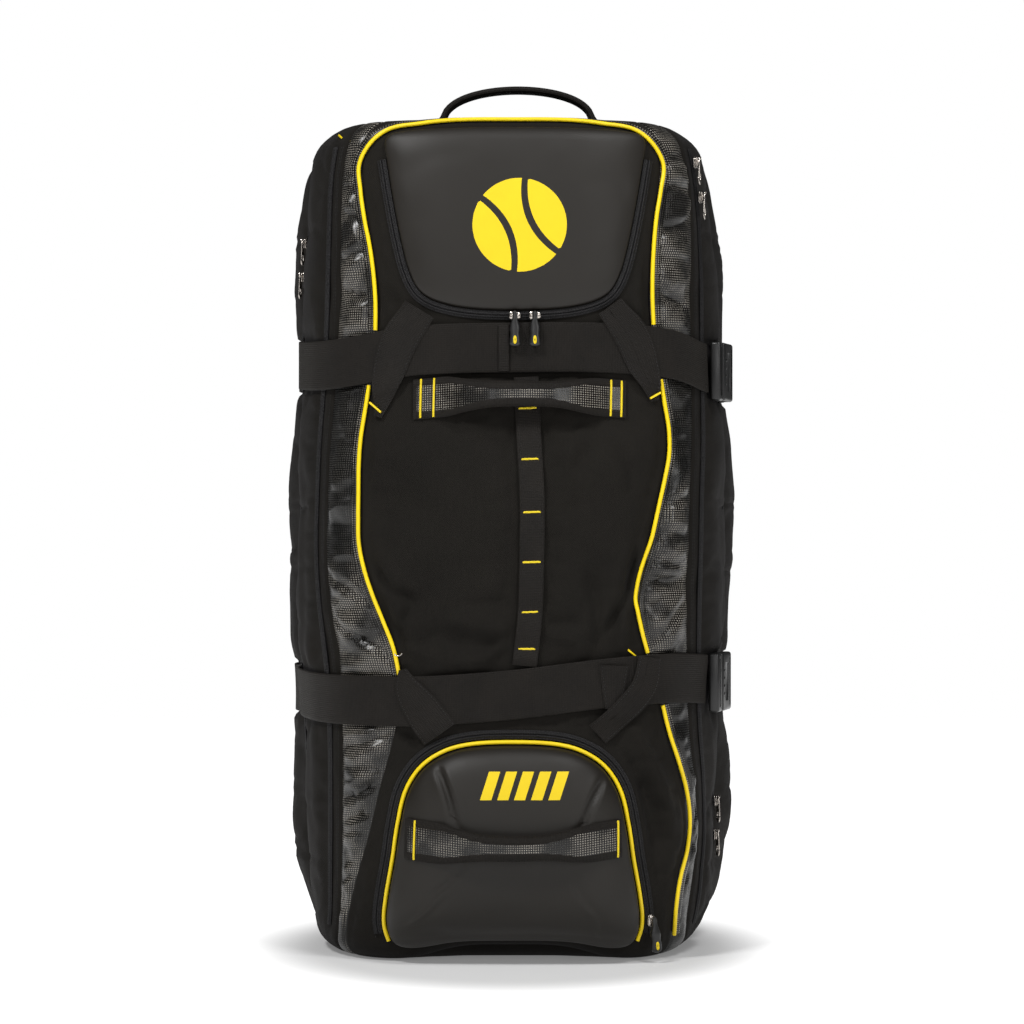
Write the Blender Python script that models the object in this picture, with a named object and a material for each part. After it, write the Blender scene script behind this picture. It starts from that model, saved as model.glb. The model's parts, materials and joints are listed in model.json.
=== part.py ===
"""Upright cricket kit bag: a tall soft bag with a padded zip lid, mesh gussets, a domed
lower pocket, two buckled compression straps, three handles and yellow piping.

Metres, +Z up. X runs to the viewer's right, the front faces -Y, and the floor is Z = 0.
Every cloth piece is laid on one surface: a plan section round the bag, read from stations,
that changes with height. A place on it is (t, z), where t counts the stations from the
front centre, positive to the right, or (x, z) as seen from the front.
"""

import math

import bmesh
import bpy
import numpy as np
from mathutils import Matrix, Vector

# Overall sizes.
HEIGHT = 0.850
WIDTH = 0.470
FRONT_DEPTH = 0.170
BACK_DEPTH = 0.168
TOP_ROUND = 0.025
BASE_ROUND = 0.022
TOP_CROWN = 0.004
FRONT_ARCH = 0.020
FRONT_ARCH_HALF = 0.095
FRONT_ARCH_TALL = 0.080

# Cloth.
WALL = 0.0025
SEAM_GAP = 0.00055
LAY_GAP = 0.0009
WEBBING = 0.050
WEBBING_THICK = 0.0020
BRACE_THICK = 0.0015
CHAIN_WIDTH = 0.025
PIPING_RADIUS = 0.0021
PIPING_GAP = 0.0008

# Lid.
LID_WIDTH = 0.5575 * WIDTH
LID_HEIGHT = 0.2118 * HEIGHT
LID_TOP_Z = HEIGHT - 0.56 * TOP_ROUND
LID_SHIFT = 0.003
LID_CROWN = 0.006
LID_OVERLAP = 0.010
ZIP_WIDTH = 0.009
ZIP_THICK = 0.0020
ZIP_MARGIN = 0.0062
SIDE_ZIP_LIFT = 0.0006
REAR_ZIP_FOOT = 0.112 * HEIGHT
REAR_ZIP_HEAD = 0.929 * HEIGHT
POCKET_ZIP_MARGIN = 0.0115

# Lower pocket.
POCKET_WIDTH = 0.532 * WIDTH
POCKET_HEIGHT = 0.2412 * HEIGHT
POCKET_BASE_Z = 0.014
POCKET_SHIFT = 0.001
POCKET_CROWN = 0.027

# Straps and what is on them.
STRAP_UPPER_Z = 0.7235 * HEIGHT
STRAP_LOWER_Z = 0.3200 * HEIGHT
STRAP_LIFT = 0.0037
STRAP_REAR_LIFT = 0.0020
LOOP_WIDTH = 0.011
LOOP_X = -0.008
BUCKLE_LENGTH = 0.046
BUCKLE_TALL = 0.060
BUCKLE_THICK = 0.013
BUCKLE_WALL = 0.0022
PLUG_BASE = 0.020
PLUG_TONGUE = 0.026
BUCKLE_GAP = 0.0004
BUCKLE_LIFT = 0.0046
BUCKLE_T = 3.95

# Handles.
GRIP_LENGTH = 0.451 * WIDTH
GRIP_Z = STRAP_UPPER_Z - 0.98 * WEBBING
GRIP_TALL = 0.041
GRIP_THICK = 0.0095
GRIP_LIFTED = 0.005
GRIP_SHIFT = 0.0075
GRIP_SEAT = 0.0021
GRIP_RISE = 0.017
POCKET_GRIP_LENGTH = 0.832 * POCKET_WIDTH
POCKET_GRIP_Z = POCKET_BASE_Z + 0.556 * POCKET_HEIGHT
POCKET_GRIP_SAG = 0.008
POCKET_GRIP_RISE = 0.010
TOP_HANDLE_SPAN = 0.196
TOP_HANDLE_RISE = 0.044
TOP_HANDLE_WIDTH = 0.028
TOP_HANDLE_THICK = 0.007
TOP_HANDLE_Y = -0.010
TOP_HANDLE_SHIFT = 0.006

# Zip sliders and pulls.
SLIDER_LENGTH = 0.012
SLIDER_WIDTH = 0.009
SLIDER_THICK = 0.0045
PULL_LENGTH = 0.027
PULL_WIDTH = 0.009
PULL_THICK = 0.0018
MOULDED_PULL_LENGTH = 0.036
MOULDED_PULL_WIDTH = 0.011
MOULDED_PULL_THICK = 0.006
PULL_GAP = 0.0004

# Plan stations from the front centre to the back centre. across is a share of the side
# half width, or of the rear half width where rear is 1. along is a share of the front
# depth ahead of the middle, or of the back depth behind it.
STATIONS = (
    # across, along, rear
    (0.000, -1.000, 0),
    (0.420, -0.985, 0),
    (0.720, -0.865, 0),
    (0.885, -0.610, 0),
    (0.965, -0.290, 0),
    (1.000, 0.000, 0),
    (0.984, 0.130, 0),
    (1.000, 0.500, 1),
    (0.940, 0.880, 1),
    (0.810, 1.000, 1),
    (0.000, 1.000, 1),
)
BACK_T = len(STATIONS) - 1
SIDE_ZIP_BEHIND = 0.36
REAR_ZIP_T = 5.25
GROOVE_T = 5.85
CORNER_T = 8.6

# Half widths as shares of half the width, and the front's depth as a share of its own.
ROWS = (
    # z, side left, side right, rear left, rear right, front
    (0.000, 0.852, 0.790, 0.852, 0.795, 0.905),
    (0.024, 0.872, 0.828, 0.872, 0.840, 0.935),
    (0.055, 0.878, 0.876, 0.905, 0.905, 0.960),
    (0.110, 0.895, 0.887, 0.970, 0.957, 0.985),
    (0.180, 0.906, 0.892, 0.979, 0.975, 0.995),
    (0.245, 0.913, 0.904, 0.976, 0.966, 0.985),
    (0.310, 0.926, 0.906, 0.970, 0.948, 0.965),
    (0.375, 0.938, 0.921, 0.983, 0.958, 0.990),
    (0.470, 0.940, 0.936, 1.000, 0.983, 1.030),
    (0.540, 0.936, 0.936, 1.007, 0.998, 1.040),
    (0.620, 0.931, 0.931, 0.983, 0.979, 1.015),
    (0.670, 0.927, 0.922, 0.958, 0.953, 0.985),
    (0.715, 0.926, 0.915, 0.945, 0.936, 0.965),
    (0.750, 0.926, 0.913, 0.948, 0.938, 0.970),
    (0.810, 0.918, 0.900, 0.966, 0.943, 0.985),
    (0.870, 0.904, 0.877, 0.970, 0.934, 0.980),
    (0.915, 0.896, 0.860, 0.934, 0.902, 0.968),
    (0.950, 0.885, 0.847, 0.905, 0.875, 0.950),
    (0.980, 0.868, 0.826, 0.870, 0.845, 0.930),
    (1.000, 0.838, 0.785, 0.840, 0.805, 0.915),
)

# Lines seen from the front: the piped seams and the gussets' outer edges, as shares of
# half the width, against shares of the height.
SEAMS = (
    # z, piping left, piping right, gusset left, gusset right
    (0.000, 0.730, 0.690, 0.775, 0.760),
    (0.047, 0.716, 0.693, 0.750, 0.765),
    (0.095, 0.676, 0.714, 0.742, 0.790),
    (0.147, 0.620, 0.757, 0.736, 0.812),
    (0.206, 0.568, 0.740, 0.734, 0.800),
    (0.265, 0.510, 0.675, 0.734, 0.775),
    (0.324, 0.474, 0.622, 0.740, 0.765),
    (0.375, 0.506, 0.568, 0.762, 0.760),
    (0.430, 0.585, 0.530, 0.790, 0.760),
    (0.488, 0.645, 0.580, 0.805, 0.765),
    (0.547, 0.650, 0.627, 0.800, 0.770),
    (0.610, 0.645, 0.668, 0.790, 0.780),
    (0.680, 0.608, 0.637, 0.768, 0.782),
    (0.747, 0.580, 0.603, 0.752, 0.780),
    (0.830, 0.594, 0.598, 0.745, 0.783),
    (0.890, 0.632, 0.616, 0.742, 0.780),
    (0.935, 0.648, 0.640, 0.735, 0.765),
    (0.970, 0.640, 0.635, 0.715, 0.735),
    (1.000, 0.610, 0.595, 0.690, 0.690),
)

# Half outlines from the foot to the head, as shares of half the width and of the height.
LID_OUTLINE = (
    # across, up
    (0.00, 0.000),
    (0.36, 0.012),
    (0.60, 0.050),
    (0.72, 0.105),
    (0.80, 0.215),
    (0.86, 0.380),
    (0.92, 0.605),
    (0.97, 0.830),
    (0.99, 0.945),
    (0.93, 0.985),
    (0.50, 1.004),
    (0.00, 1.010),
)
POCKET_OUTLINE = (
    # across, up
    (0.00, 0.000),
    (0.45, 0.000),
    (0.80, 0.000),
    (0.95, 0.030),
    (1.00, 0.125),
    (0.985, 0.250),
    (0.93, 0.450),
    (0.895, 0.600),
    (0.825, 0.780),
    (0.68, 0.905),
    (0.43, 0.980),
    (0.00, 1.000),
)

# Strap centre lines: station, and drop below the strap's height as a share of its width.
UPPER_LINE = (
    # t, drop
    (-9.0, 0.18),
    (-5.0, 0.17),
    (-2.0, 0.20),
    (-1.0, 0.00),
    (0.0, -0.05),
    (1.0, -0.05),
    (2.0, 0.05),
    (3.0, 0.28),
    (4.0, 0.36),
    (9.0, 0.36),
)
LOWER_LINE = (
    # t, drop
    (-9.0, 0.12),
    (-5.0, 0.12),
    (-2.0, 0.17),
    (-1.0, 0.17),
    (0.0, 0.04),
    (1.0, -0.18),
    (2.0, -0.27),
    (3.0, -0.22),
    (4.0, -0.12),
    (9.0, -0.12),
)

# Webbing over the straps, as seen from the front: x as a share of half the bag's width,
# then the share of the way down from its upper end, and its width as a share of a strap's.
BRACES = {
    "brace_upper_left": (
        # x, down, wide
        (-0.392, 0.00, 0.68),
        (-0.477, 0.31, 0.72),
        (-0.523, 0.62, 0.60),
        (-0.553, 0.87, 0.32),
        (-0.568, 1.00, 0.16),
    ),
    "brace_upper_right": (
        # x, down, wide
        (0.414, -0.03, 0.56),
        (0.502, 0.24, 0.68),
        (0.553, 0.52, 0.60),
        (0.587, 0.71, 0.36),
        (0.606, 0.85, 0.16),
    ),
    "brace_lower_left": (
        # x, down, wide
        (-0.460, 0.00, 0.16),
        (-0.438, 0.29, 0.52),
        (-0.374, 0.65, 0.72),
        (-0.306, 1.00, 0.76),
    ),
    "strap_keeper": (
        # x, down, wide
        (0.430, -0.06, 0.58),
        (0.428, 0.29, 0.46),
        (0.426, 0.61, 0.32),
    ),
    "brace_lower_right": (
        # x, down, wide
        (0.575, -0.18, 0.44),
        (0.553, 0.25, 0.50),
        (0.468, 0.65, 0.50),
        (0.362, 1.00, 0.50),
    ),
}

# Rings of the padded panels, as shares of their outlines, from the rim in.
LID_RINGS = (1.0, 0.9, 0.7, 0.4, 0.0)
POCKET_RINGS = (1.0, 0.97, 0.85, 0.6, 0.3, 0.0)

# Pairs of sliders: on the lid's zip at x, and on the side and rear zips at a share of the
# bag's height, the second a pull's length below the first.
LID_PULLS = (("lid_left", 0.003), ("lid_right", 0.023))
POCKET_PULL_Z = 0.040
SIDE_PULLS = (
    ("left", "rear_zip_left", 0.865),
    ("right_top", "side_zip_right", 0.955),
    ("right_low", "rear_zip_right", 0.176),
)

# Broad creases of the soft front. x and z are shares of half the width and of the height,
# long and wide are radii as shares of the width, lean is degrees from upright, and deep is
# a share of the front's depth.
FOLDS = (
    # x, z, long, wide, lean, deep
    (-0.39, 0.435, 0.128, 0.051, -32.0, 0.035),
    (0.44, 0.455, 0.149, 0.047, 14.0, 0.035),
    (0.66, 0.450, 0.043, 0.072, 8.0, 0.024),
    (-0.67, 0.375, 0.038, 0.077, -20.0, 0.021),
    (-0.66, 0.790, 0.038, 0.072, 10.0, 0.018),
    (0.70, 0.790, 0.043, 0.068, -8.0, 0.021),
)

# Handle grips from one end to the other: share of the length, then height, thickness and
# rise off the bag as shares of the grip's own.
GRIP_ROWS = (
    # along, tall, thick, rise
    (0.000, 1.00, 0.32, 0.00),
    (0.095, 1.00, 0.34, 0.00),
    (0.160, 0.98, 0.47, 0.18),
    (0.240, 0.83, 0.74, 0.62),
    (0.340, 0.68, 0.95, 0.95),
    (0.500, 0.63, 1.00, 1.00),
    (0.680, 0.66, 0.95, 0.95),
    (0.790, 0.83, 0.74, 0.62),
    (0.865, 0.93, 0.47, 0.18),
    (0.925, 0.93, 0.34, 0.00),
    (1.000, 0.93, 0.32, 0.00),
)

# The daisy chain's sway to the right, as a share of its width, down its length.
CHAIN_ROWS = (
    # down, sway
    (0.00, 0.57),
    (0.20, 0.67),
    (0.42, 0.80),
    (0.65, 0.78),
    (0.82, 0.72),
    (1.00, 0.50),
)

# Colours as the photograph shows them: linear red, green, blue, then roughness, metallic.
FINISHES = {
    "polyester": ((0.017, 0.016, 0.018), 0.85, 0.0),
    "coated": ((0.040, 0.038, 0.035), 0.55, 0.0),
    "mesh_cloth": ((0.050, 0.048, 0.045), 0.45, 0.0),
    "webbing": ((0.014, 0.012, 0.010), 0.80, 0.0),
    "piping": ((0.900, 0.740, 0.010), 0.40, 0.0),
    "zip_tape": ((0.010, 0.010, 0.011), 0.60, 0.0),
    "nickel": ((0.480, 0.450, 0.420), 0.28, 1.0),
    "plastic": ((0.012, 0.012, 0.012), 0.32, 0.0),
}


def smooth_column(table, column, at):
    """One column of a table at the given places of its first column, on a smooth curve."""
    rows = np.array(table, float)
    place, value = rows[:, 0], rows[:, column]
    at = np.clip(np.asarray(at, float), place[0], place[-1])
    slope = np.gradient(value, place)
    low = np.clip(np.searchsorted(place, at, side="right") - 1, 0, len(place) - 2)
    span = place[low + 1] - place[low]
    s = (at - place[low]) / span
    rise = s * s * (3 - 2 * s)
    return (
        value[low] * (1 - rise)
        + value[low + 1] * rise
        + span * slope[low] * (s - 2 * s * s + s**3)
        + span * slope[low + 1] * (s**3 - s * s)
    )


def station_points(z):
    """Plan points of every station at heights z, from the back round the front and back."""
    share = z / HEIGHT
    half = WIDTH / 2
    ahead = FRONT_DEPTH * smooth_column(ROWS, 5, share)
    points = []
    for side, wide_column, rear_column in ((-1, 1, 3), (1, 2, 4)):
        wide = half * smooth_column(ROWS, wide_column, share)
        rear = half * smooth_column(ROWS, rear_column, share)
        line = []
        for across, along, is_rear in STATIONS:
            x = side * across * (rear if is_rear else wide)
            y = along * (ahead if along < 0 else BACK_DEPTH)
            line.append(np.stack([x, y + 0 * x], -1))
        points.append(line)
    return np.stack(points[0][:0:-1] + points[1], 0)


def plan_point(t, z):
    """Points of the plan section at station t and height z."""
    count = 2 * BACK_T
    stations = station_points(z)[:count]
    t = np.mod(t + BACK_T, count)
    low = np.floor(t).astype(int)
    s = (t - low)[:, None]
    place = np.arange(len(t))

    def pick(k):
        return stations[np.mod(low + k, count), place]

    before, start, end, after = pick(-1), pick(0), pick(1), pick(2)
    into, out = (end - before) / 2, (after - start) / 2
    rise = s * s * (3 - 2 * s)
    return (
        start * (1 - rise)
        + end * rise
        + into * (s - 2 * s * s + s**3)
        + out * (s**3 - s * s)
    )


def plan_normal(t, z):
    step = 1e-3
    along = plan_point(t + step, z) - plan_point(t - step, z)
    normal = np.stack([along[:, 1], -along[:, 0]], -1)
    return normal / np.linalg.norm(normal, axis=1)[:, None]


def fold_depth(x, z):
    """How far the broad creases sink the cloth at (x, z)."""
    depth = 0 * x
    for across, up, long, wide, lean, deep in FOLDS:
        turn = math.radians(lean)
        dx, dz = x - across * WIDTH / 2, z - up * HEIGHT
        along = dz * math.cos(turn) + dx * math.sin(turn)
        aside = dx * math.cos(turn) - dz * math.sin(turn)
        crease = np.exp(-((along / (long * WIDTH)) ** 2) - (aside / (wide * WIDTH)) ** 2)
        depth = depth + deep * FRONT_DEPTH * crease
    return depth


def wall(t, z, lift=0.0, folded=False):
    """Points of the bag's outside at (t, z), lifted off it, with the rounded edges."""
    t, z, lift = np.broadcast_arrays(*(np.asarray(v, float) for v in (t, z, lift)))
    shape = t.shape
    t, z, lift = t.ravel(), z.ravel(), lift.ravel()
    low = np.clip((BASE_ROUND - z) / BASE_ROUND, 0, 1)
    high = np.clip((z - HEIGHT + TOP_ROUND) / TOP_ROUND, 0, 1)
    upright = np.sqrt(np.clip(1 - low**2 - high**2, 0, 1))
    inset = (BASE_ROUND * (low > 0) + TOP_ROUND * (high > 0)) * (1 - upright)
    plan, normal = plan_point(t, z), plan_normal(t, z)
    if folded:
        ahead = np.clip((-normal[:, 1] - 0.25) / 0.3, 0, 1)
        lift = lift - ahead * fold_depth(plan[:, 0], z)
    turned_in = 1 - inset[:, None] / np.array([WIDTH / 2, (FRONT_DEPTH + BACK_DEPTH) / 2])
    flat = plan * turned_in + normal * (lift * upright)[:, None]
    front = np.clip(-plan[:, 1] / FRONT_DEPTH, 0, 1) ** 2
    arch = np.exp(-((plan[:, 0] / FRONT_ARCH_HALF) ** 4)) * front
    rise = FRONT_ARCH * arch * np.clip(1 - z / FRONT_ARCH_TALL, 0, 1) ** 2
    up = z + lift * (high - low) + rise
    return np.concatenate([flat, up[:, None]], 1).reshape(*shape, 3)


def station_of(x, z):
    """The station t on the front or side whose plan point has this x at height z."""
    x, z = np.broadcast_arrays(np.asarray(x, float), np.asarray(z, float))
    shape = x.shape
    x, z = x.ravel(), z.ravel()
    side = np.where(x < 0, -1.0, 1.0)
    low, high = np.zeros(len(x)), np.full(len(x), 5.0)
    for _ in range(34):
        middle = (low + high) / 2
        inside = np.abs(plan_point(side * middle, z)[:, 0]) < np.abs(x)
        low, high = np.where(inside, middle, low), np.where(inside, high, middle)
    return (side * (low + high) / 2).reshape(shape)


def front(x, z, lift=0.0):
    """Points of the bag's outside seen at (x, z) from the front, lifted off it."""
    return wall(station_of(x, z), z, lift)


def seam_x(column, z):
    side = -1 if column in (1, 3) else 1
    return side * smooth_column(SEAMS, column, z / HEIGHT) * WIDTH / 2


def strap_z(line, height, t):
    return height - WEBBING * smooth_column(line, 1, t)


def strap_lift(t):
    """Straps clear the zips and the piping in front, and lie close to the bag behind."""
    near = np.clip((GROOVE_T - np.abs(t)) / 0.3, 0, 1)
    return STRAP_REAR_LIFT + (STRAP_LIFT - STRAP_REAR_LIFT) * near * near * (3 - 2 * near)


def finish(name, mesh_faces, points, material, smooth=True):
    """A named object from points and faces, its faces pointing out."""
    mesh = bpy.data.meshes.new(name)
    mesh.from_pydata([tuple(map(float, p)) for p in points], [], mesh_faces)
    form = bmesh.new()
    form.from_mesh(mesh)
    bmesh.ops.triangulate(form, faces=form.faces)
    bmesh.ops.recalc_face_normals(form, faces=form.faces)
    if form.calc_volume(signed=True) < 0:
        bmesh.ops.reverse_faces(form, faces=form.faces)
    form.to_mesh(mesh)
    form.free()
    if smooth:
        mesh.shade_smooth()
        mesh.set_sharp_from_angle(angle=math.radians(40))
    mesh.materials.append(material)
    made = bpy.data.objects.new(name, mesh)
    bpy.context.scene.collection.objects.link(made)
    return made


def sheet(name, outside, inside, material):
    """A closed sheet between two grids of points of the same shape (rows, columns, 3)."""
    rows, columns = outside.shape[:2]
    points = np.concatenate([outside.reshape(-1, 3), inside.reshape(-1, 3)])
    back = rows * columns
    faces = []
    for r in range(rows - 1):
        for c in range(columns - 1):
            a = r * columns + c
            faces.append((a, a + 1, a + columns + 1, a + columns))
            faces.append(tuple(back + i for i in (a, a + columns, a + columns + 1, a + 1)))
    rim = [c for c in range(columns)]
    rim += [r * columns + columns - 1 for r in range(1, rows)]
    rim += [(rows - 1) * columns + c for c in range(columns - 2, -1, -1)]
    rim += [r * columns for r in range(rows - 2, 0, -1)]
    for a, b in zip(rim, rim[1:] + rim[:1]):
        faces.append((a, back + a, back + b, b))
    return finish(name, faces, points, material)


def panel_rows():
    """Heights of the body panels' rows, closer together on the rounded edges."""
    straight = np.linspace(BASE_ROUND, HEIGHT - TOP_ROUND, 17)
    base = BASE_ROUND * np.array([0.0, 0.10, 0.45])
    top = HEIGHT - TOP_ROUND * np.array([0.45, 0.10, 0.0])
    return np.concatenate([base, straight, top])


def panel_stations(left, right, columns, z):
    """Stations of a panel's columns at heights z, half a seam gap inside its edges."""
    ends = []
    for edge, inward in ((left, 1), (right, -1)):
        step = 1e-3
        pace = np.linalg.norm(plan_point(edge + step, z) - plan_point(edge - step, z), axis=1)
        ends.append(edge + inward * SEAM_GAP / 2 * 2 * step / pace)
    share = np.linspace(0, 1, columns + 1)[None, :]
    return ends[0][:, None] * (1 - share) + ends[1][:, None] * share


def body_edges(z):
    """Stations of the body's seams at heights z, from the left groove to the right."""
    flat = 0 * z
    piping = [station_of(seam_x(c, z), z) for c in (1, 2)]
    gusset = [station_of(seam_x(c, z), z) for c in (3, 4)]
    return {
        "back_left": flat - CORNER_T,
        "groove_left": flat - GROOVE_T,
        "gusset_left": gusset[0],
        "piping_left": piping[0],
        "piping_right": piping[1],
        "gusset_right": gusset[1],
        "groove_right": flat + GROOVE_T,
        "back_right": flat + CORNER_T,
        "back_end": flat + 2 * BACK_T - CORNER_T,
    }


BODY_PANELS = (
    # name, left edge, right edge, columns, finish
    ("front_panel", "piping_left", "piping_right", 12, "polyester"),
    ("mesh_gusset_right", "piping_right", "gusset_right", 2, "mesh_cloth"),
    ("side_panel_right", "gusset_right", "groove_right", 3, "polyester"),
    ("rear_band_right", "groove_right", "back_right", 5, "polyester"),
    ("back_panel", "back_right", "back_end", 5, "polyester"),
    ("rear_band_left", "back_left", "groove_left", 5, "polyester"),
    ("side_panel_left", "groove_left", "gusset_left", 3, "polyester"),
    ("mesh_gusset_left", "gusset_left", "piping_left", 2, "mesh_cloth"),
)


def body_panels(materials):
    """The sewn walls of the bag, one sheet for each panel."""
    z = panel_rows()
    edges = body_edges(z)
    made = {}
    for name, left, right, columns, cloth in BODY_PANELS:
        t = panel_stations(edges[left], edges[right], columns, z)
        tall = np.repeat(z[:, None], columns + 1, 1)
        outside = wall(t, tall, 0.0, folded=True)
        inside = wall(t, tall, -WALL, folded=True)
        made[name] = sheet(name, outside, inside, materials[cloth])
    return made


def cap(name, z, crown, material):
    """The top or base cloth, inside the rim that the walls turn in to."""
    level = np.array([z])
    edges = body_edges(level)
    rim_t = []
    for _, left, right, columns, _ in BODY_PANELS:
        rim_t.extend(panel_stations(edges[left], edges[right], columns, level)[0])
    rim = wall(np.array(rim_t), z, 0.0, folded=True)
    middle = rim.mean(0)
    middle[2] = z
    ahead = rim[:, :2] - middle[:2]
    reach = np.linalg.norm(ahead, axis=1)
    rings = []
    for share in (1.0, 0.6):
        ring = rim.copy()
        ring[:, :2] = middle[:2] + ahead * (share - 2 * SEAM_GAP / reach[:, None])
        ring[:, 2] = z + (rim[:, 2] - z) * share**12 + crown * (1 - share**2)
        rings.append(ring)
    centre = middle + Vector((0, 0, crown))
    inward = -math.copysign(WALL, z - HEIGHT / 2)
    return dish(name, rings, centre, [(0, 0, inward)] * len(rings), (0, 0, inward), material)


def dish(name, rings, centre, drops, centre_drop, material):
    """A closed sheet from rings of points round a centre, each with its own thickness."""
    count = len(rings[0])
    outside = np.concatenate([*rings, [centre]])
    under = [ring + np.array(drop) for ring, drop in zip(rings, drops)]
    inside = np.concatenate([*under, [np.array(centre) + np.array(centre_drop)]])
    points = np.concatenate([outside, inside])
    back = len(outside)
    faces = []
    for i in range(count):
        j = (i + 1) % count
        for r in range(len(rings) - 1):
            a, b, c, d = r * count + i, r * count + j, (r + 1) * count + j, (r + 1) * count + i
            faces.append((a, b, c, d))
            faces.append((back + d, back + c, back + b, back + a))
        last = (len(rings) - 1) * count
        faces.append((last + i, last + j, back - 1))
        faces.append((back + last + j, back + last + i, 2 * back - 1))
        faces.append((j, i, back + i, back + j))
    return finish(name, faces, points, material)


def outline_points(half_outline, width, height, foot, shift, count, grow=0.0):
    """A closed outline of (x, z) from the table of its right half, grown outward."""
    right = np.array(half_outline, float)
    whole = np.concatenate([right, right[-2:0:-1] * (-1, 1)])
    whole = whole * (width / 2, height)
    loop = np.concatenate([whole, whole[:1]])
    run = np.concatenate([[0], np.cumsum(np.linalg.norm(np.diff(loop, axis=0), axis=1))])
    at = np.linspace(0, run[-1], count, endpoint=False)
    ahead = np.roll(whole, -1, 0)
    behind = np.roll(whole, 1, 0)
    gait = run[1:] - run[:-1]
    pace = (gait + np.roll(gait, 1))[:, None]
    tangent = (ahead - behind) / pace
    low = np.clip(np.searchsorted(run, at, side="right") - 1, 0, len(whole) - 1)
    high = (low + 1) % len(whole)
    span = gait[low][:, None]
    s = (at - run[low])[:, None] / span
    rise = s * s * (3 - 2 * s)
    points = (
        whole[low] * (1 - rise)
        + whole[high] * rise
        + span * tangent[low] * (s - 2 * s * s + s**3)
        + span * tangent[high] * (s**3 - s * s)
    )
    turn = np.roll(points, -1, 0) - np.roll(points, 1, 0)
    outward = np.stack([turn[:, 1], -turn[:, 0]], -1)
    outward /= np.linalg.norm(outward, axis=1)[:, None]
    return points + outward * grow + (shift, foot)


def lid_outline(count, grow=0.0):
    foot = LID_TOP_Z - LID_HEIGHT
    return outline_points(LID_OUTLINE, LID_WIDTH, LID_HEIGHT, foot, LID_SHIFT, count, grow)


def pocket_outline(count, grow=0.0):
    return outline_points(
        POCKET_OUTLINE, POCKET_WIDTH, POCKET_HEIGHT, POCKET_BASE_Z, POCKET_SHIFT, count, grow
    )


def dome(share, crown):
    """Rise of a padded panel's ring over its rim."""
    return crown * math.sqrt(1 - share**4)


def domed_panel(name, outline, rim_lift, crown, thick, ring_shares, material):
    """A padded panel on the front: it rises from rim_lift at its rim to its crown."""
    middle = np.array([outline[:, 0].mean(), (outline[:, 1].min() + outline[:, 1].max()) / 2])
    rings, drops = [], []
    for share in ring_shares[:-1]:
        place = middle + (outline - middle) * share
        lift = rim_lift + dome(share, crown)
        top = front(place[:, 0], place[:, 1], lift + thick)
        rings.append(top)
        drops.append(front(place[:, 0], place[:, 1], lift) - top)
    centre = front(middle[0], middle[1], rim_lift + crown + thick)
    centre_drop = front(middle[0], middle[1], rim_lift + crown) - centre
    return dish(name, rings, centre, drops, centre_drop, material)


def cut_prism(name, target, outline):
    """Cuts an upright-facing prism of this outline through the front of target."""
    count = len(outline)
    near, far = -2 * FRONT_DEPTH, -FRONT_DEPTH / 2
    points = [(x, near, z) for x, z in outline] + [(x, far, z) for x, z in outline]
    faces = [tuple(range(count)), tuple(range(2 * count - 1, count - 1, -1))]
    for i in range(count):
        j = (i + 1) % count
        faces.append((i, count + i, count + j, j))
    cutter = finish(name, faces, points, target.data.materials[0], smooth=False)
    cutter.hide_render = True
    cutter.display_type = "WIRE"
    cut = target.modifiers.new("opening", "BOOLEAN")
    cut.operation = "DIFFERENCE"
    cut.solver = "EXACT"
    cut.object = cutter
    return cutter


def path_points(corners, spacing):
    """Points about this far apart on a smooth curve through the corners."""
    corners = np.array(corners, float)
    steps = np.linalg.norm(np.diff(corners, axis=0), axis=1)
    run = np.concatenate([[0], np.cumsum(steps)])
    table = np.concatenate([run[:, None], corners], 1)
    at = np.linspace(0, run[-1], max(2, int(round(run[-1] / spacing)) + 1))
    return np.stack([smooth_column(table, c + 1, at) for c in range(corners.shape[1])], -1)


def band_on_front(name, corners, width, lift, thick, spacing, across, material):
    """Webbing or tape laid along a line of (x, z) seen from the front."""
    line = path_points(corners, spacing)
    along = np.gradient(line, axis=0)
    along /= np.linalg.norm(along, axis=1)[:, None]
    aside = np.stack([-along[:, 1], along[:, 0]], -1)
    share = np.linspace(-0.5, 0.5, across + 1)[None, :, None] * width
    place = line[:, None, :] + aside[:, None, :] * share
    outside = front(place[..., 0], place[..., 1], lift + thick)
    inside = front(place[..., 0], place[..., 1], lift)
    return sheet(name, outside, inside, material)


def band_round(name, line, height, start, end, material, spacing=0.018):
    """Strap webbing laid round the bag from station start to station end."""
    t = np.linspace(start, end, 2 + int(abs(end - start) * 0.055 / spacing))
    middle = strap_z(line, height, t)
    share = np.linspace(-0.5, 0.5, 3)[None, :]
    tall = middle[:, None] + WEBBING * share
    round_bag = np.repeat(t[:, None], 3, 1)
    lift = strap_lift(round_bag)
    outside = wall(round_bag, tall, lift + WEBBING_THICK)
    inside = wall(round_bag, tall, lift)
    return sheet(name, outside, inside, material)


def tube(name, points, radius, sides, material):
    """A closed round cord through 3-D points."""
    points = np.array(points, float)
    along = np.gradient(points, axis=0)
    along /= np.linalg.norm(along, axis=1)[:, None]
    up = np.cross(along[0], (0.3, 0.9, 0.1))
    rings = []
    for place, ahead in zip(points, along):
        up = up - ahead * up.dot(ahead)
        up /= np.linalg.norm(up)
        aside = np.cross(ahead, up)
        turn = np.linspace(0, 2 * math.pi, sides, endpoint=False)[:, None]
        rings.append(place + radius * (np.cos(turn) * up + np.sin(turn) * aside))
    return loft(name, rings, material)


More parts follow.
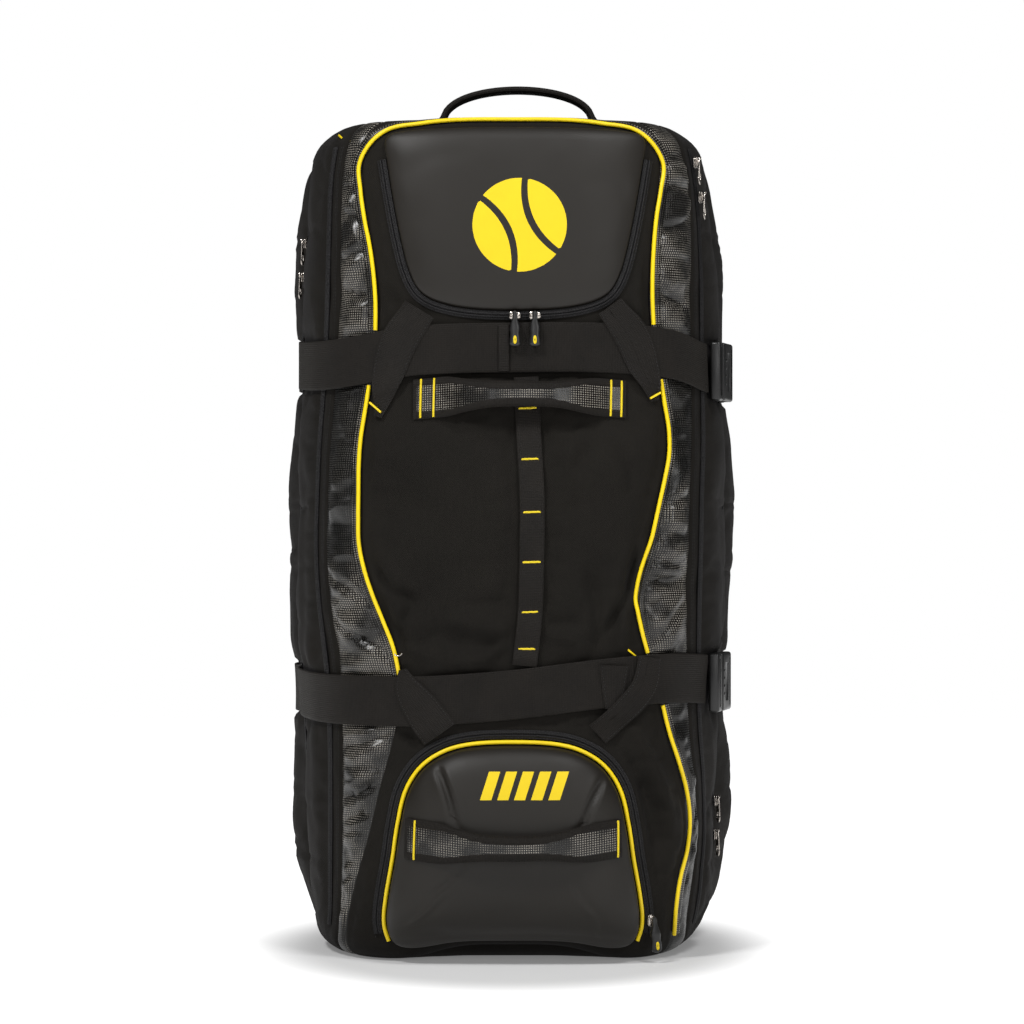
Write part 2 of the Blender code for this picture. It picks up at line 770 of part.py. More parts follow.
def loft(name, rings, material):
    """A closed solid through rings of equal point counts, with flat ends."""
    count = len(rings[0])
    points = np.concatenate(rings)
    faces = [tuple(range(count - 1, -1, -1))]
    faces.append(tuple(range(len(points) - count, len(points))))
    for r in range(len(rings) - 1):
        for i in range(count):
            j = (i + 1) % count
            a, b = r * count + i, r * count + j
            faces.append((a, b, b + count, a + count))
    return finish(name, faces, points, material)


def piping_on_front(name, corners, material, spacing=0.024, lift=0.0):
    """Piping cord laid along a line of (x, z) seen from the front."""
    line = path_points(corners, spacing)
    raised = lift + PIPING_RADIUS + PIPING_GAP
    tube(name, front(line[:, 0], line[:, 1], raised), PIPING_RADIUS, 6, material)


def seam_corners(column, z_from, z_to, count):
    z = np.linspace(z_from, z_to, count)
    return np.stack([seam_x(column, z), z], -1)


def strap_edge(line, height, column, side):
    """Height where a piped seam meets a strap's edge: side 1 is above it, -1 below."""
    z = height
    for _ in range(6):
        t = float(station_of(seam_x(column, z), z))
        z = float(strap_z(line, height, t)) + side * (WEBBING / 2 + PIPING_RADIUS)
    return z


def pipings(materials):
    """Yellow cord: round the lid, down both seams, and round the lower pocket."""
    yellow = materials["piping"]
    shoulder = HEIGHT - 1.8 * TOP_ROUND
    left_foot = strap_edge(UPPER_LINE, STRAP_UPPER_Z, 1, 1)
    right_foot = strap_edge(UPPER_LINE, STRAP_UPPER_Z, 2, 1)
    left = seam_corners(1, left_foot, shoulder, 7)
    right = seam_corners(2, shoulder, right_foot, 7)
    head = HEIGHT - 0.16 * TOP_ROUND
    drop = TOP_ROUND / 8
    over = [
        (left[-1][0] * 0.94, shoulder + 0.72 * TOP_ROUND),
        (left[-1][0] * 0.84, head - 3.2 * drop),
        (left[-1][0] * 0.62, head - 1.2 * drop),
        (0.0, head),
        (right[0][0] * 0.62, head - 1.2 * drop),
        (right[0][0] * 0.84, head - 3.2 * drop),
        (right[0][0] * 0.94, shoulder + 0.72 * TOP_ROUND),
    ]
    piping_on_front("piping_lid", [*left, *over, *right], yellow)
    upper_left = strap_edge(UPPER_LINE, STRAP_UPPER_Z, 1, -1)
    upper_right = strap_edge(UPPER_LINE, STRAP_UPPER_Z, 2, -1)
    lower_left = strap_edge(LOWER_LINE, STRAP_LOWER_Z, 1, 1)
    lower_right = strap_edge(LOWER_LINE, STRAP_LOWER_Z, 2, 1)
    under_right = strap_edge(LOWER_LINE, STRAP_LOWER_Z, 2, -1)
    piping_on_front("piping_left", seam_corners(1, upper_left, lower_left, 12), yellow)
    piping_on_front("piping_right_upper", seam_corners(2, upper_right, lower_right, 12), yellow)
    foot = BASE_ROUND + PIPING_RADIUS
    piping_on_front("piping_right_lower", seam_corners(2, under_right, foot, 9), yellow)
    rim = pocket_outline(64, PIPING_RADIUS + 2 * PIPING_GAP)
    seat = rim[:, 1] > POCKET_BASE_Z + PIPING_RADIUS
    begin = int(np.argmax(~np.roll(seat, 1) & seat))
    ring = np.roll(rim, -begin, 0)[: int(seat.sum())]
    piping_on_front("piping_pocket", ring, yellow, 0.020)


def zip_ring(name, outline, is_open, lift, material):
    """Zip tape laid along the stretch of an outline where is_open is true."""
    begin = int(np.argmax(~np.roll(is_open, 1) & is_open))
    line = np.roll(outline, -begin, 0)[: int(is_open.sum())]
    return band_on_front(name, line, ZIP_WIDTH, lift, ZIP_THICK, 0.024, 1, material)


def zips(materials):
    """Coil zips: round the lid, round the lower pocket, and two down each side."""
    tape = materials["zip_tape"]
    lid = lid_outline(72, ZIP_MARGIN)
    zip_ring("lid_zip", lid, lid[:, 1] < LID_TOP_Z - TOP_ROUND, LAY_GAP, tape)
    pocket = pocket_outline(72, POCKET_ZIP_MARGIN)
    foot = POCKET_BASE_Z + ZIP_WIDTH
    zip_ring("pocket_zip", pocket, pocket[:, 1] > foot, LAY_GAP, tape)
    side_z = np.linspace(BASE_ROUND + ZIP_WIDTH, HEIGHT - TOP_ROUND, 21)
    rear_z = np.linspace(REAR_ZIP_FOOT, REAR_ZIP_HEAD, 16)
    for name in ("side_zip_left", "side_zip_right", "rear_zip_left", "rear_zip_right"):
        z = side_z if name.startswith("side") else rear_z
        t = zip_station(name, z)
        pace = np.linalg.norm(plan_point(t + 0.01, z) - plan_point(t - 0.01, z), axis=1)
        half = ZIP_WIDTH / 2 * 0.02 / pace
        across = np.stack([t - half, t + half], -1)
        tall = np.repeat(z[:, None], 2, 1)
        outside = wall(across, tall, SIDE_ZIP_LIFT + ZIP_THICK)
        sheet(name, outside, wall(across, tall, SIDE_ZIP_LIFT), tape)


def zip_station(name, z):
    """Stations of a side zip, behind the gusset's edge, or of a rear zip, at heights z."""
    side = -1 if name.endswith("left") else 1
    if name.startswith("rear"):
        return side * REAR_ZIP_T + 0 * z
    column = 3 if side < 0 else 4
    return station_of(seam_x(column, z), z) + side * SIDE_ZIP_BEHIND


def straps(materials):
    """Compression straps round the bag, and the loop by the lid's pulls."""
    cloth = materials["webbing"]
    lines = (
        ("strap_upper", UPPER_LINE, STRAP_UPPER_Z),
        ("strap_lower", LOWER_LINE, STRAP_LOWER_Z),
    )
    for name, line, height in lines:
        ends = buckle_ends(line, height)
        band_round(name + "_front", line, height, -CORNER_T, ends[0], cloth)
        band_round(name + "_rear", line, height, ends[1], CORNER_T, cloth)
    over = STRAP_LIFT + WEBBING_THICK + LAY_GAP
    z = float(strap_z(UPPER_LINE, STRAP_UPPER_Z, float(station_of(LOOP_X, STRAP_UPPER_Z))))
    half = WEBBING / 2 - BRACE_THICK
    ends = [(LOOP_X, z - half), (LOOP_X, z), (LOOP_X, z + half)]
    band_on_front("strap_loop", ends, LOOP_WIDTH, over, BRACE_THICK, 0.024, 1, cloth)


def braces(materials):
    """Diagonal webbing sewn down at both ends over the straps, and the strap's keeper."""
    low = LAY_GAP + ZIP_THICK
    layer = BRACE_THICK + LAY_GAP
    for name, rows in BRACES.items():
        if "upper" in name:
            line, height = UPPER_LINE, STRAP_UPPER_Z
            top, foot = LID_TOP_Z - LID_HEIGHT, height - 1.33 * WEBBING
        else:
            line, height = LOWER_LINE, STRAP_LOWER_Z
            top, foot = height + 0.47 * WEBBING, POCKET_BASE_Z + POCKET_HEIGHT + POCKET_ZIP_MARGIN
        high = STRAP_LIFT + WEBBING_THICK + LAY_GAP - low
        if name == "brace_lower_right":
            high += layer + SEAM_GAP
        corners = [
            (x * WIDTH / 2, top + (foot - top) * down, wide * WEBBING) for x, down, wide in rows
        ]
        path = path_points(corners, 0.011)
        along = np.gradient(path[:, :2], axis=0)
        along /= np.linalg.norm(along, axis=1)[:, None]
        aside = np.stack([-along[:, 1], along[:, 0]], -1)
        share = np.linspace(-0.5, 0.5, 3)[None, :, None]
        place = path[:, None, :2] + aside[:, None, :] * share * path[:, None, 2:3]
        x, z = place[..., 0], place[..., 1]
        away = np.abs(z - strap_z(line, height, station_of(x, z))) - WEBBING / 2
        over = np.clip(1 - (away - 3 * layer) / (WEBBING / 4), 0, 1)
        lift = low + high * over * over * (3 - 2 * over)
        outside, inside = front(x, z, lift + BRACE_THICK), front(x, z, lift)
        sheet(name, outside, inside, materials["webbing"])


def daisy_chain(materials):
    """Narrow webbing down the front centre, sewn into loops between bar tacks."""
    head = STRAP_UPPER_Z - WEBBING / 2 - 2 * LAY_GAP
    foot = float(strap_z(LOWER_LINE, STRAP_LOWER_Z, 0.2)) + WEBBING / 2 + 2 * LAY_GAP
    corners = [(sway * CHAIN_WIDTH, head + (foot - head) * down) for down, sway in CHAIN_ROWS]
    band_on_front(
        "daisy_chain", corners, CHAIN_WIDTH, 1.5 * LAY_GAP, WEBBING_THICK, 0.024, 1,
        materials["webbing"],
    )


def rounded_section(tall, thick):
    """Eight points round a flat oval: (up, out), from its inner face."""
    h, d = tall / 2, thick
    return (
        (-h, 0.30 * d), (-0.72 * h, 0.0), (0.72 * h, 0.0), (h, 0.30 * d),
        (h, 0.70 * d), (0.72 * h, d), (-0.72 * h, d), (-h, 0.70 * d),
    )


def front_grip(name, length, z, shift, rise, sag, seat, material):
    """A padded handle across the front: flat sewn ends and a raised, narrower grip."""
    along = np.linspace(0, 1, 16)
    rings = []
    for share in along:
        tall = GRIP_TALL * float(smooth_column(GRIP_ROWS, 1, share))
        thick = GRIP_THICK * float(smooth_column(GRIP_ROWS, 2, share))
        off = float(np.clip(smooth_column(GRIP_ROWS, 3, share), 0, 1)) * rise
        x = shift + (share - 0.5) * length
        level = z - sag * math.sin(math.pi * share)
        ring = [front(x, level + up, seat(x, level + up) + off + out)
                for up, out in rounded_section(tall, thick)]
        rings.append(np.array(ring))
    return loft(name, rings, material)


def pocket_seat(x, z):
    """How high over the front a grip on the pocket's dome starts at (x, z)."""
    outline = pocket_outline(36)
    middle = np.array([outline[:, 0].mean(), (outline[:, 1].min() + outline[:, 1].max()) / 2])
    place = np.array([x, z]) - middle
    heading = math.atan2(place[1], place[0])
    bearing = np.arctan2(outline[:, 1] - middle[1], outline[:, 0] - middle[0])
    reach = np.linalg.norm(outline - middle, axis=1)
    order = np.argsort(bearing)
    rim = np.interp(heading, bearing[order], reach[order], period=2 * math.pi)
    share = min(1.0, float(np.linalg.norm(place)) / rim)
    rises = [dome(ring, POCKET_CROWN) for ring in POCKET_RINGS[::-1]]
    return LAY_GAP + WALL + GRIP_SEAT + float(np.interp(share, POCKET_RINGS[::-1], rises))


def handles(materials):
    """The front grip, the pocket's grip and the top handle."""
    cloth = materials["webbing"]
    front_grip("front_handle", GRIP_LENGTH, GRIP_Z, GRIP_SHIFT, GRIP_RISE,
               -GRIP_LIFTED, lambda x, z: LAY_GAP, cloth)
    front_grip("pocket_handle", POCKET_GRIP_LENGTH, POCKET_GRIP_Z, POCKET_SHIFT,
               POCKET_GRIP_RISE, POCKET_GRIP_SAG, pocket_seat, cloth)
    top_handle(cloth)


def top_handle(material):
    """A padded webbing arch across the top, with flat feet on the top cloth."""
    half = TOP_HANDLE_SPAN / 2
    seat = HEIGHT + TOP_CROWN * (1 - (half / (WIDTH / 2)) ** 2)
    middle = TOP_HANDLE_THICK / 2
    arch = []
    for turn in np.linspace(math.radians(172), math.radians(8), 17):
        x = half * 0.80 * math.cos(turn)
        z = seat + middle + (TOP_HANDLE_RISE - TOP_HANDLE_THICK) * math.sin(turn) ** 0.8
        arch.append((x, z))
    line = [(-half, seat + middle), (-half * 0.86, seat + middle), *arch]
    line += [(half * 0.86, seat + middle), (half, seat + middle)]
    line = path_points(line, 0.010)
    line[:, 1] = np.maximum(line[:, 1], seat + middle)
    along = np.gradient(line, axis=0)
    along /= np.linalg.norm(along, axis=1)[:, None]
    rings = []
    for (x, z), (run_x, run_z) in zip(line, along):
        ring = []
        for out, thick in rounded_section(TOP_HANDLE_WIDTH, TOP_HANDLE_THICK):
            off = thick - middle
            ring.append((TOP_HANDLE_SHIFT + x - run_z * off, TOP_HANDLE_Y + out, z + run_x * off))
        rings.append(np.array(ring))
    return loft("top_handle", rings, material)


def block(name, size, centre, material, bevel=0.0):
    """A box with its edges bevelled, centred at a point of its own frame."""
    form = bmesh.new()
    bmesh.ops.create_cube(form, size=1.0)
    bmesh.ops.scale(form, vec=size, verts=form.verts)
    if bevel:
        bmesh.ops.bevel(form, geom=form.edges, offset=bevel, segments=1, affect="EDGES")
    bmesh.ops.translate(form, vec=centre, verts=form.verts)
    bmesh.ops.triangulate(form, faces=form.faces)
    mesh = bpy.data.meshes.new(name)
    form.to_mesh(mesh)
    form.free()
    mesh.materials.append(material)
    made = bpy.data.objects.new(name, mesh)
    bpy.context.scene.collection.objects.link(made)
    return made


def helper(made):
    made.hide_render = True
    made.display_type = "WIRE"
    return made


def combine(target, other, operation):
    step = target.modifiers.new(operation.lower(), "BOOLEAN")
    step.operation = operation
    step.solver = "EXACT"
    step.object = helper(other)


def surface_frame(t, z, lift):
    """A frame on the bag: x along the wall to the right, y up it, z outward."""
    place = Vector(wall(t, z, lift))
    along = Vector(wall(t + 0.02, z, lift)) - Vector(wall(t - 0.02, z, lift))
    along.normalize()
    up = Vector((0, 0, 1))
    out = along.cross(up).normalized()
    frame = Matrix((along, up, out)).transposed().to_4x4()
    frame.translation = place
    return frame


def buckle_ends(line, height):
    """Stations where the strap meets the buckle's two ends."""
    z = float(strap_z(line, height, BUCKLE_T))
    frame = surface_frame(BUCKLE_T, z, STRAP_LIFT)
    t = np.linspace(BUCKLE_T - 1.5, BUCKLE_T + 1.5, 201)
    run = (wall(t, z, STRAP_LIFT) - np.array(frame.translation)) @ np.array(frame.col[0][:3])
    ahead = BUCKLE_LENGTH / 2 + PLUG_BASE + 2 * BUCKLE_GAP
    behind = BUCKLE_LENGTH / 2 + BUCKLE_GAP
    return np.interp((-ahead, behind), run, t)


def buckle(name, line, height, material):
    """A side-release buckle on the right side: the socket and the plug pushed into it."""
    z = float(strap_z(line, height, BUCKLE_T))
    frame = surface_frame(BUCKLE_T, z, BUCKLE_LIFT)
    middle = BUCKLE_THICK / 2
    size = (BUCKLE_LENGTH, BUCKLE_TALL, BUCKLE_THICK)
    socket = block(name + "_socket", size, (0, 0, middle), material, 0.0025)
    inner = (PLUG_TONGUE, BUCKLE_TALL - 8 * BUCKLE_WALL, BUCKLE_THICK - 2 * BUCKLE_WALL)
    mouth = -BUCKLE_LENGTH / 2
    hollow = block(name + "_hollow", inner, (mouth + PLUG_TONGUE / 2 - 0.001, 0, middle), material)
    combine(socket, hollow, "DIFFERENCE")
    window = (0.012, 2 * BUCKLE_TALL, BUCKLE_THICK - 2 * BUCKLE_WALL)
    side_hole = block(name + "_window", window, (mouth + 0.016, 0, middle), material)
    combine(socket, side_hole, "DIFFERENCE")
    slot_size = (0.006, WEBBING, 2 * BUCKLE_THICK)
    rear_slot = block(name + "_slot", slot_size, (BUCKLE_LENGTH / 2 - 0.007, 0, middle), material)
    combine(socket, rear_slot, "DIFFERENCE")
    base_x = mouth - BUCKLE_GAP - PLUG_BASE / 2
    plug = block(
        name + "_plug", (PLUG_BASE, BUCKLE_TALL, BUCKLE_THICK - BUCKLE_WALL),
        (base_x, 0, middle), material, 0.002,
    )
    tongue_size = (
        PLUG_TONGUE + PLUG_BASE / 2 - 0.002,
        inner[1] - 2 * BUCKLE_GAP,
        inner[2] - 2 * BUCKLE_GAP,
    )
    tongue_x = mouth + PLUG_TONGUE - 0.001 - BUCKLE_GAP - tongue_size[0] / 2
    tongue = block(name + "_tongue", tongue_size, (tongue_x, 0, middle), material)
    combine(plug, tongue, "UNION")
    slot = block(name + "_plug_slot", slot_size, (base_x - 0.003, 0, middle), material)
    combine(plug, slot, "DIFFERENCE")
    for piece in (socket, hollow, side_hole, rear_slot, plug, tongue, slot):
        piece.matrix_world = frame


def pull_set(name, place, out, down, metal, pull_material, moulded=False, level=False):
    """A zip slider on an upright or level track, and the pull that hangs from it."""
    out, down = Vector(out).normalized(), Vector(down).normalized()
    aside = out.cross(down).normalized()
    down = aside.cross(out)
    frame = Matrix((aside, -down, out)).transposed().to_4x4()
    frame.translation = Vector(place)
    across, long = SLIDER_WIDTH, SLIDER_LENGTH
    if level:
        across, long = long, across
    slider = block(
        "zip_slider_" + name, (across, long, SLIDER_THICK), (0, 0, SLIDER_THICK / 2), metal
    )
    size = (PULL_WIDTH, PULL_LENGTH, PULL_THICK)
    if moulded:
        size = (MOULDED_PULL_WIDTH, MOULDED_PULL_LENGTH, MOULDED_PULL_THICK)
    low = SLIDER_THICK + PULL_GAP
    centre = (0, -(size[1] / 2 - SLIDER_LENGTH / 3), low + size[2] / 2)
    pull = block("zip_pull_" + name, size, centre, pull_material)
    slider.matrix_world = frame
    pull.matrix_world = frame


def pull_sets(materials):
    """Sliders and pulls: two on the lid, one on the pocket, two on each side zip's run."""
    metal, plastic = materials["nickel"], materials["plastic"]
    seat = LAY_GAP + ZIP_THICK + 2 * PULL_GAP
    foot = LID_TOP_Z - LID_HEIGHT - ZIP_MARGIN
    for word, x in LID_PULLS:
        place, above = front(x, foot, seat), front(x, foot, seat + 0.01)
        pull_set(word, place, above - place, (0, 0, -1), metal, plastic, True, True)
    corner = pocket_outline(72, POCKET_ZIP_MARGIN)
    from_stop = np.hypot(corner[:, 0] - POCKET_WIDTH / 2, corner[:, 1] - POCKET_PULL_Z)
    x, z = corner[np.argmin(from_stop)]
    place, above = front(x, z, seat + 2 * PULL_GAP), front(x, z, seat + 0.01)
    pull_set("pocket", place, above - place, (0.1, 0, -1), metal, plastic, True)
    seat = SIDE_ZIP_LIFT + ZIP_THICK + PULL_GAP
    for word, run, share in SIDE_PULLS:
        clear = 2 * PULL_GAP if run.startswith("side") else 0.0
        for index in (1, 2):
            z = share * HEIGHT - (index - 1) * (PULL_LENGTH + 0.7 * SLIDER_LENGTH)
            t = float(zip_station(run, np.array([z]))[0])
            place, above = wall(t, z, seat + clear), wall(t, z, seat + 0.01)
            pull_set(f"{word}_{index}", place, above - place, (0, 0, -1), metal, metal)


def make_materials():
    made = {}
    for name, (colour, roughness, metallic) in FINISHES.items():
        material = bpy.data.materials.new(name)
        material.use_nodes = True
        shader = material.node_tree.nodes["Principled BSDF"]
        shader.inputs["Base Color"].default_value = (*colour, 1.0)
        shader.inputs["Roughness"].default_value = roughness
        shader.inputs["Metallic"].default_value = metallic
        made[name] = material
    return made


def main():
    for old in list(bpy.data.objects):
        bpy.data.objects.remove(old)
    materials = make_materials()
    panels = body_panels(materials)
    cut_prism("lid_opening_cutter", panels["front_panel"], lid_outline(48, -LID_OVERLAP))
    cap("top_panel", HEIGHT, TOP_CROWN, materials["polyester"])
    cap("base_panel", 0.0, 0.0, materials["polyester"])
    cloth = materials["coated"]
    domed_panel("lid_panel", lid_outline(36), LAY_GAP, LID_CROWN, WALL, LID_RINGS, cloth)
    rim = pocket_outline(36)
    domed_panel("pocket_panel", rim, LAY_GAP, POCKET_CROWN, WALL, POCKET_RINGS, cloth)
    pipings(materials)
    zips(materials)
    straps(materials)
    braces(materials)
    daisy_chain(materials)
    handles(materials)
    buckle("buckle_upper", UPPER_LINE, STRAP_UPPER_Z, materials["plastic"])
    buckle("buckle_lower", LOWER_LINE, STRAP_LOWER_Z, materials["plastic"])
    pull_sets(materials)


main()
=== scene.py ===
"""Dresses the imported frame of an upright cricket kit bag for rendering.

The frame gives the sizes and the place of every part. The cloth, webbing, zips, handles and
fittings are made here over the same surface that the frame was laid on: a plan section
round the bag, read from stations, that changes with height. Metres, +Z up, and the front
faces -Y.
"""

import json
import math
from functools import partial

import bmesh
import bpy
import numpy as np
from mathutils import Matrix, Vector

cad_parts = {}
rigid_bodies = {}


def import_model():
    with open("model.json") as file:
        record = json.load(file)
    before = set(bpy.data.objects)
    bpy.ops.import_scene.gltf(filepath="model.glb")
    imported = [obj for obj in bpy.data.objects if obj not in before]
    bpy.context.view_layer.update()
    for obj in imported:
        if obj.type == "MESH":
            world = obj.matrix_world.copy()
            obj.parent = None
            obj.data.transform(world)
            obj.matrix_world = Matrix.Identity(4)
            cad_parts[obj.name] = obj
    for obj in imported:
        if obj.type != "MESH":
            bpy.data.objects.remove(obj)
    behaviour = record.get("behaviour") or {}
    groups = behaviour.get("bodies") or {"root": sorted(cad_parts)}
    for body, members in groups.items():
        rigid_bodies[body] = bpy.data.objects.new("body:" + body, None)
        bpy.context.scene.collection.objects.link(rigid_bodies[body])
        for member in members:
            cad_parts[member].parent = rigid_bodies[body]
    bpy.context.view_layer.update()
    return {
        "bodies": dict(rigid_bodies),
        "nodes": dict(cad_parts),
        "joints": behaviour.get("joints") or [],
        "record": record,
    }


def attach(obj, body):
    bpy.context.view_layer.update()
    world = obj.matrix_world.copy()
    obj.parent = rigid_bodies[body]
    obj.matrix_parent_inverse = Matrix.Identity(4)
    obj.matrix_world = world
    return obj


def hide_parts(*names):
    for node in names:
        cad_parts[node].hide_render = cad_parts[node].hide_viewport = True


bl_info = {
    "name": "Kit bag dressing",
    "version": (1, 0, 0),
    "blender": (4, 5, 0),
    "location": "View3D > Sidebar > Kit Bag",
    "description": "Cloth, webbing, zips and fittings for an upright cricket kit bag",
    "category": "Object",
}

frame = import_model()


# Overall sizes.
HEIGHT = 0.850
WIDTH = 0.470
FRONT_DEPTH = 0.170
BACK_DEPTH = 0.168
TOP_ROUND = 0.025
BASE_ROUND = 0.022
TOP_CROWN = 0.004
FRONT_ARCH = 0.020
FRONT_ARCH_HALF = 0.095
FRONT_ARCH_TALL = 0.080
# Cloth.
WALL = 0.0025
SEAM_GAP = 0.00055
LAY_GAP = 0.0009
WEBBING = 0.050
WEBBING_THICK = 0.0020
BRACE_THICK = 0.0015
CHAIN_WIDTH = 0.025
PIPING_RADIUS = 0.0021
PIPING_GAP = 0.0008
# Lid.
LID_WIDTH = 0.5575 * WIDTH
LID_HEIGHT = 0.2118 * HEIGHT
LID_TOP_Z = HEIGHT - 0.56 * TOP_ROUND
LID_SHIFT = 0.003
LID_CROWN = 0.006
LID_OVERLAP = 0.010
ZIP_WIDTH = 0.009
ZIP_THICK = 0.0020
ZIP_MARGIN = 0.0062
SIDE_ZIP_LIFT = 0.0006
REAR_ZIP_FOOT = 0.112 * HEIGHT
REAR_ZIP_HEAD = 0.929 * HEIGHT
POCKET_ZIP_MARGIN = 0.0115
# Lower pocket.
POCKET_WIDTH = 0.532 * WIDTH
POCKET_HEIGHT = 0.2412 * HEIGHT
POCKET_BASE_Z = 0.014
POCKET_SHIFT = 0.001
POCKET_CROWN = 0.027
# Straps and what is on them.
STRAP_UPPER_Z = 0.7235 * HEIGHT
STRAP_LOWER_Z = 0.3200 * HEIGHT
STRAP_LIFT = 0.0037
STRAP_REAR_LIFT = 0.0020
LOOP_WIDTH = 0.011
LOOP_X = -0.008
BUCKLE_LENGTH = 0.046
BUCKLE_TALL = 0.060
BUCKLE_THICK = 0.013
BUCKLE_WALL = 0.0022
PLUG_BASE = 0.020
PLUG_TONGUE = 0.026
BUCKLE_GAP = 0.0004
BUCKLE_LIFT = 0.0046
BUCKLE_T = 3.95
# Handles.
GRIP_LENGTH = 0.451 * WIDTH
GRIP_Z = STRAP_UPPER_Z - 0.98 * WEBBING
GRIP_TALL = 0.041
GRIP_THICK = 0.0095
GRIP_LIFTED = 0.005
GRIP_SHIFT = 0.0075
GRIP_SEAT = 0.0021
GRIP_RISE = 0.017
POCKET_GRIP_LENGTH = 0.832 * POCKET_WIDTH
POCKET_GRIP_Z = POCKET_BASE_Z + 0.556 * POCKET_HEIGHT
POCKET_GRIP_SAG = 0.008
POCKET_GRIP_RISE = 0.010
TOP_HANDLE_SPAN = 0.196
TOP_HANDLE_RISE = 0.044
TOP_HANDLE_WIDTH = 0.028
TOP_HANDLE_THICK = 0.007
TOP_HANDLE_Y = -0.010
TOP_HANDLE_SHIFT = 0.006
# Zip sliders and pulls.
SLIDER_LENGTH = 0.012
SLIDER_WIDTH = 0.009
SLIDER_THICK = 0.0045
PULL_LENGTH = 0.027
PULL_WIDTH = 0.009
PULL_THICK = 0.0018
MOULDED_PULL_LENGTH = 0.036
MOULDED_PULL_WIDTH = 0.011
MOULDED_PULL_THICK = 0.006
PULL_GAP = 0.0004

# Plan stations from the front centre to the back centre. across is a share of the side
# half width, or of the rear half width where rear is 1. along is a share of the front
# depth ahead of the middle, or of the back depth behind it.
STATIONS = (
    # across, along, rear
    (0.000, -1.000, 0),
    (0.420, -0.985, 0),
    (0.720, -0.865, 0),
    (0.885, -0.610, 0),
    (0.965, -0.290, 0),
    (1.000, 0.000, 0),
    (0.984, 0.130, 0),
    (1.000, 0.500, 1),
    (0.940, 0.880, 1),
    (0.810, 1.000, 1),
    (0.000, 1.000, 1),
)

BACK_T = len(STATIONS) - 1
SIDE_ZIP_BEHIND = 0.36
REAR_ZIP_T = 5.25
GROOVE_T = 5.85
CORNER_T = 8.6
METRES_A_STATION = 0.07

# Half widths as shares of half the width, and the front's depth as a share of its own.
ROWS = (
    # z, side left, side right, rear left, rear right, front
    (0.000, 0.852, 0.790, 0.852, 0.795, 0.905),
    (0.024, 0.872, 0.828, 0.872, 0.840, 0.935),
    (0.055, 0.878, 0.876, 0.905, 0.905, 0.960),
    (0.110, 0.895, 0.887, 0.970, 0.957, 0.985),
    (0.180, 0.906, 0.892, 0.979, 0.975, 0.995),
    (0.245, 0.913, 0.904, 0.976, 0.966, 0.985),
    (0.310, 0.926, 0.906, 0.970, 0.948, 0.965),
    (0.375, 0.938, 0.921, 0.983, 0.958, 0.990),
    (0.470, 0.940, 0.936, 1.000, 0.983, 1.030),
    (0.540, 0.936, 0.936, 1.007, 0.998, 1.040),
    (0.620, 0.931, 0.931, 0.983, 0.979, 1.015),
    (0.670, 0.927, 0.922, 0.958, 0.953, 0.985),
    (0.715, 0.926, 0.915, 0.945, 0.936, 0.965),
    (0.750, 0.926, 0.913, 0.948, 0.938, 0.970),
    (0.810, 0.918, 0.900, 0.966, 0.943, 0.985),
    (0.870, 0.904, 0.877, 0.970, 0.934, 0.980),
    (0.915, 0.896, 0.860, 0.934, 0.902, 0.968),
    (0.950, 0.885, 0.847, 0.905, 0.875, 0.950),
    (0.980, 0.868, 0.826, 0.870, 0.845, 0.930),
    (1.000, 0.838, 0.785, 0.840, 0.805, 0.915),
)

# Lines seen from the front: the piped seams and the gussets' outer edges, as shares of
# half the width, against shares of the height.
SEAMS = (
    # z, piping left, piping right, gusset left, gusset right
    (0.000, 0.730, 0.690, 0.775, 0.760),
    (0.047, 0.716, 0.693, 0.750, 0.765),
    (0.095, 0.676, 0.714, 0.742, 0.790),
    (0.147, 0.620, 0.757, 0.736, 0.812),
    (0.206, 0.568, 0.740, 0.734, 0.800),
    (0.265, 0.510, 0.675, 0.734, 0.775),
    (0.324, 0.474, 0.622, 0.740, 0.765),
    (0.375, 0.506, 0.568, 0.762, 0.760),
    (0.430, 0.585, 0.530, 0.790, 0.760),
    (0.488, 0.645, 0.580, 0.805, 0.765),
    (0.547, 0.650, 0.627, 0.800, 0.770),
    (0.610, 0.645, 0.668, 0.790, 0.780),
    (0.680, 0.608, 0.637, 0.768, 0.782),
    (0.747, 0.580, 0.603, 0.752, 0.780),
    (0.830, 0.594, 0.598, 0.745, 0.783),
    (0.890, 0.632, 0.616, 0.742, 0.780),
    (0.935, 0.648, 0.640, 0.735, 0.765),
    (0.970, 0.640, 0.635, 0.715, 0.735),
    (1.000, 0.610, 0.595, 0.690, 0.690),
)

# Half outlines from the foot to the head, as shares of half the width and of the height.
LID_OUTLINE = (
    # across, up
    (0.00, 0.000),
    (0.36, 0.012),
    (0.60, 0.050),
    (0.72, 0.105),
    (0.80, 0.215),
    (0.86, 0.380),
    (0.92, 0.605),
    (0.97, 0.830),
    (0.99, 0.945),
    (0.93, 0.985),
    (0.50, 1.004),
    (0.00, 1.010),
)

POCKET_OUTLINE = (
    # across, up
    (0.00, 0.000),
    (0.45, 0.000),
    (0.80, 0.000),
    (0.95, 0.030),
    (1.00, 0.125),
    (0.985, 0.250),
    (0.93, 0.450),
    (0.895, 0.600),
    (0.825, 0.780),
    (0.68, 0.905),
    (0.43, 0.980),
    (0.00, 1.000),
)

# Strap centre lines: station, and drop below the strap's height as a share of its width.
UPPER_LINE = (
    # t, drop
    (-9.0, 0.18),
    (-5.0, 0.17),
    (-2.0, 0.20),
    (-1.0, 0.00),
    (0.0, -0.05),
    (1.0, -0.05),
    (2.0, 0.05),
    (3.0, 0.28),
    (4.0, 0.36),
    (9.0, 0.36),
)

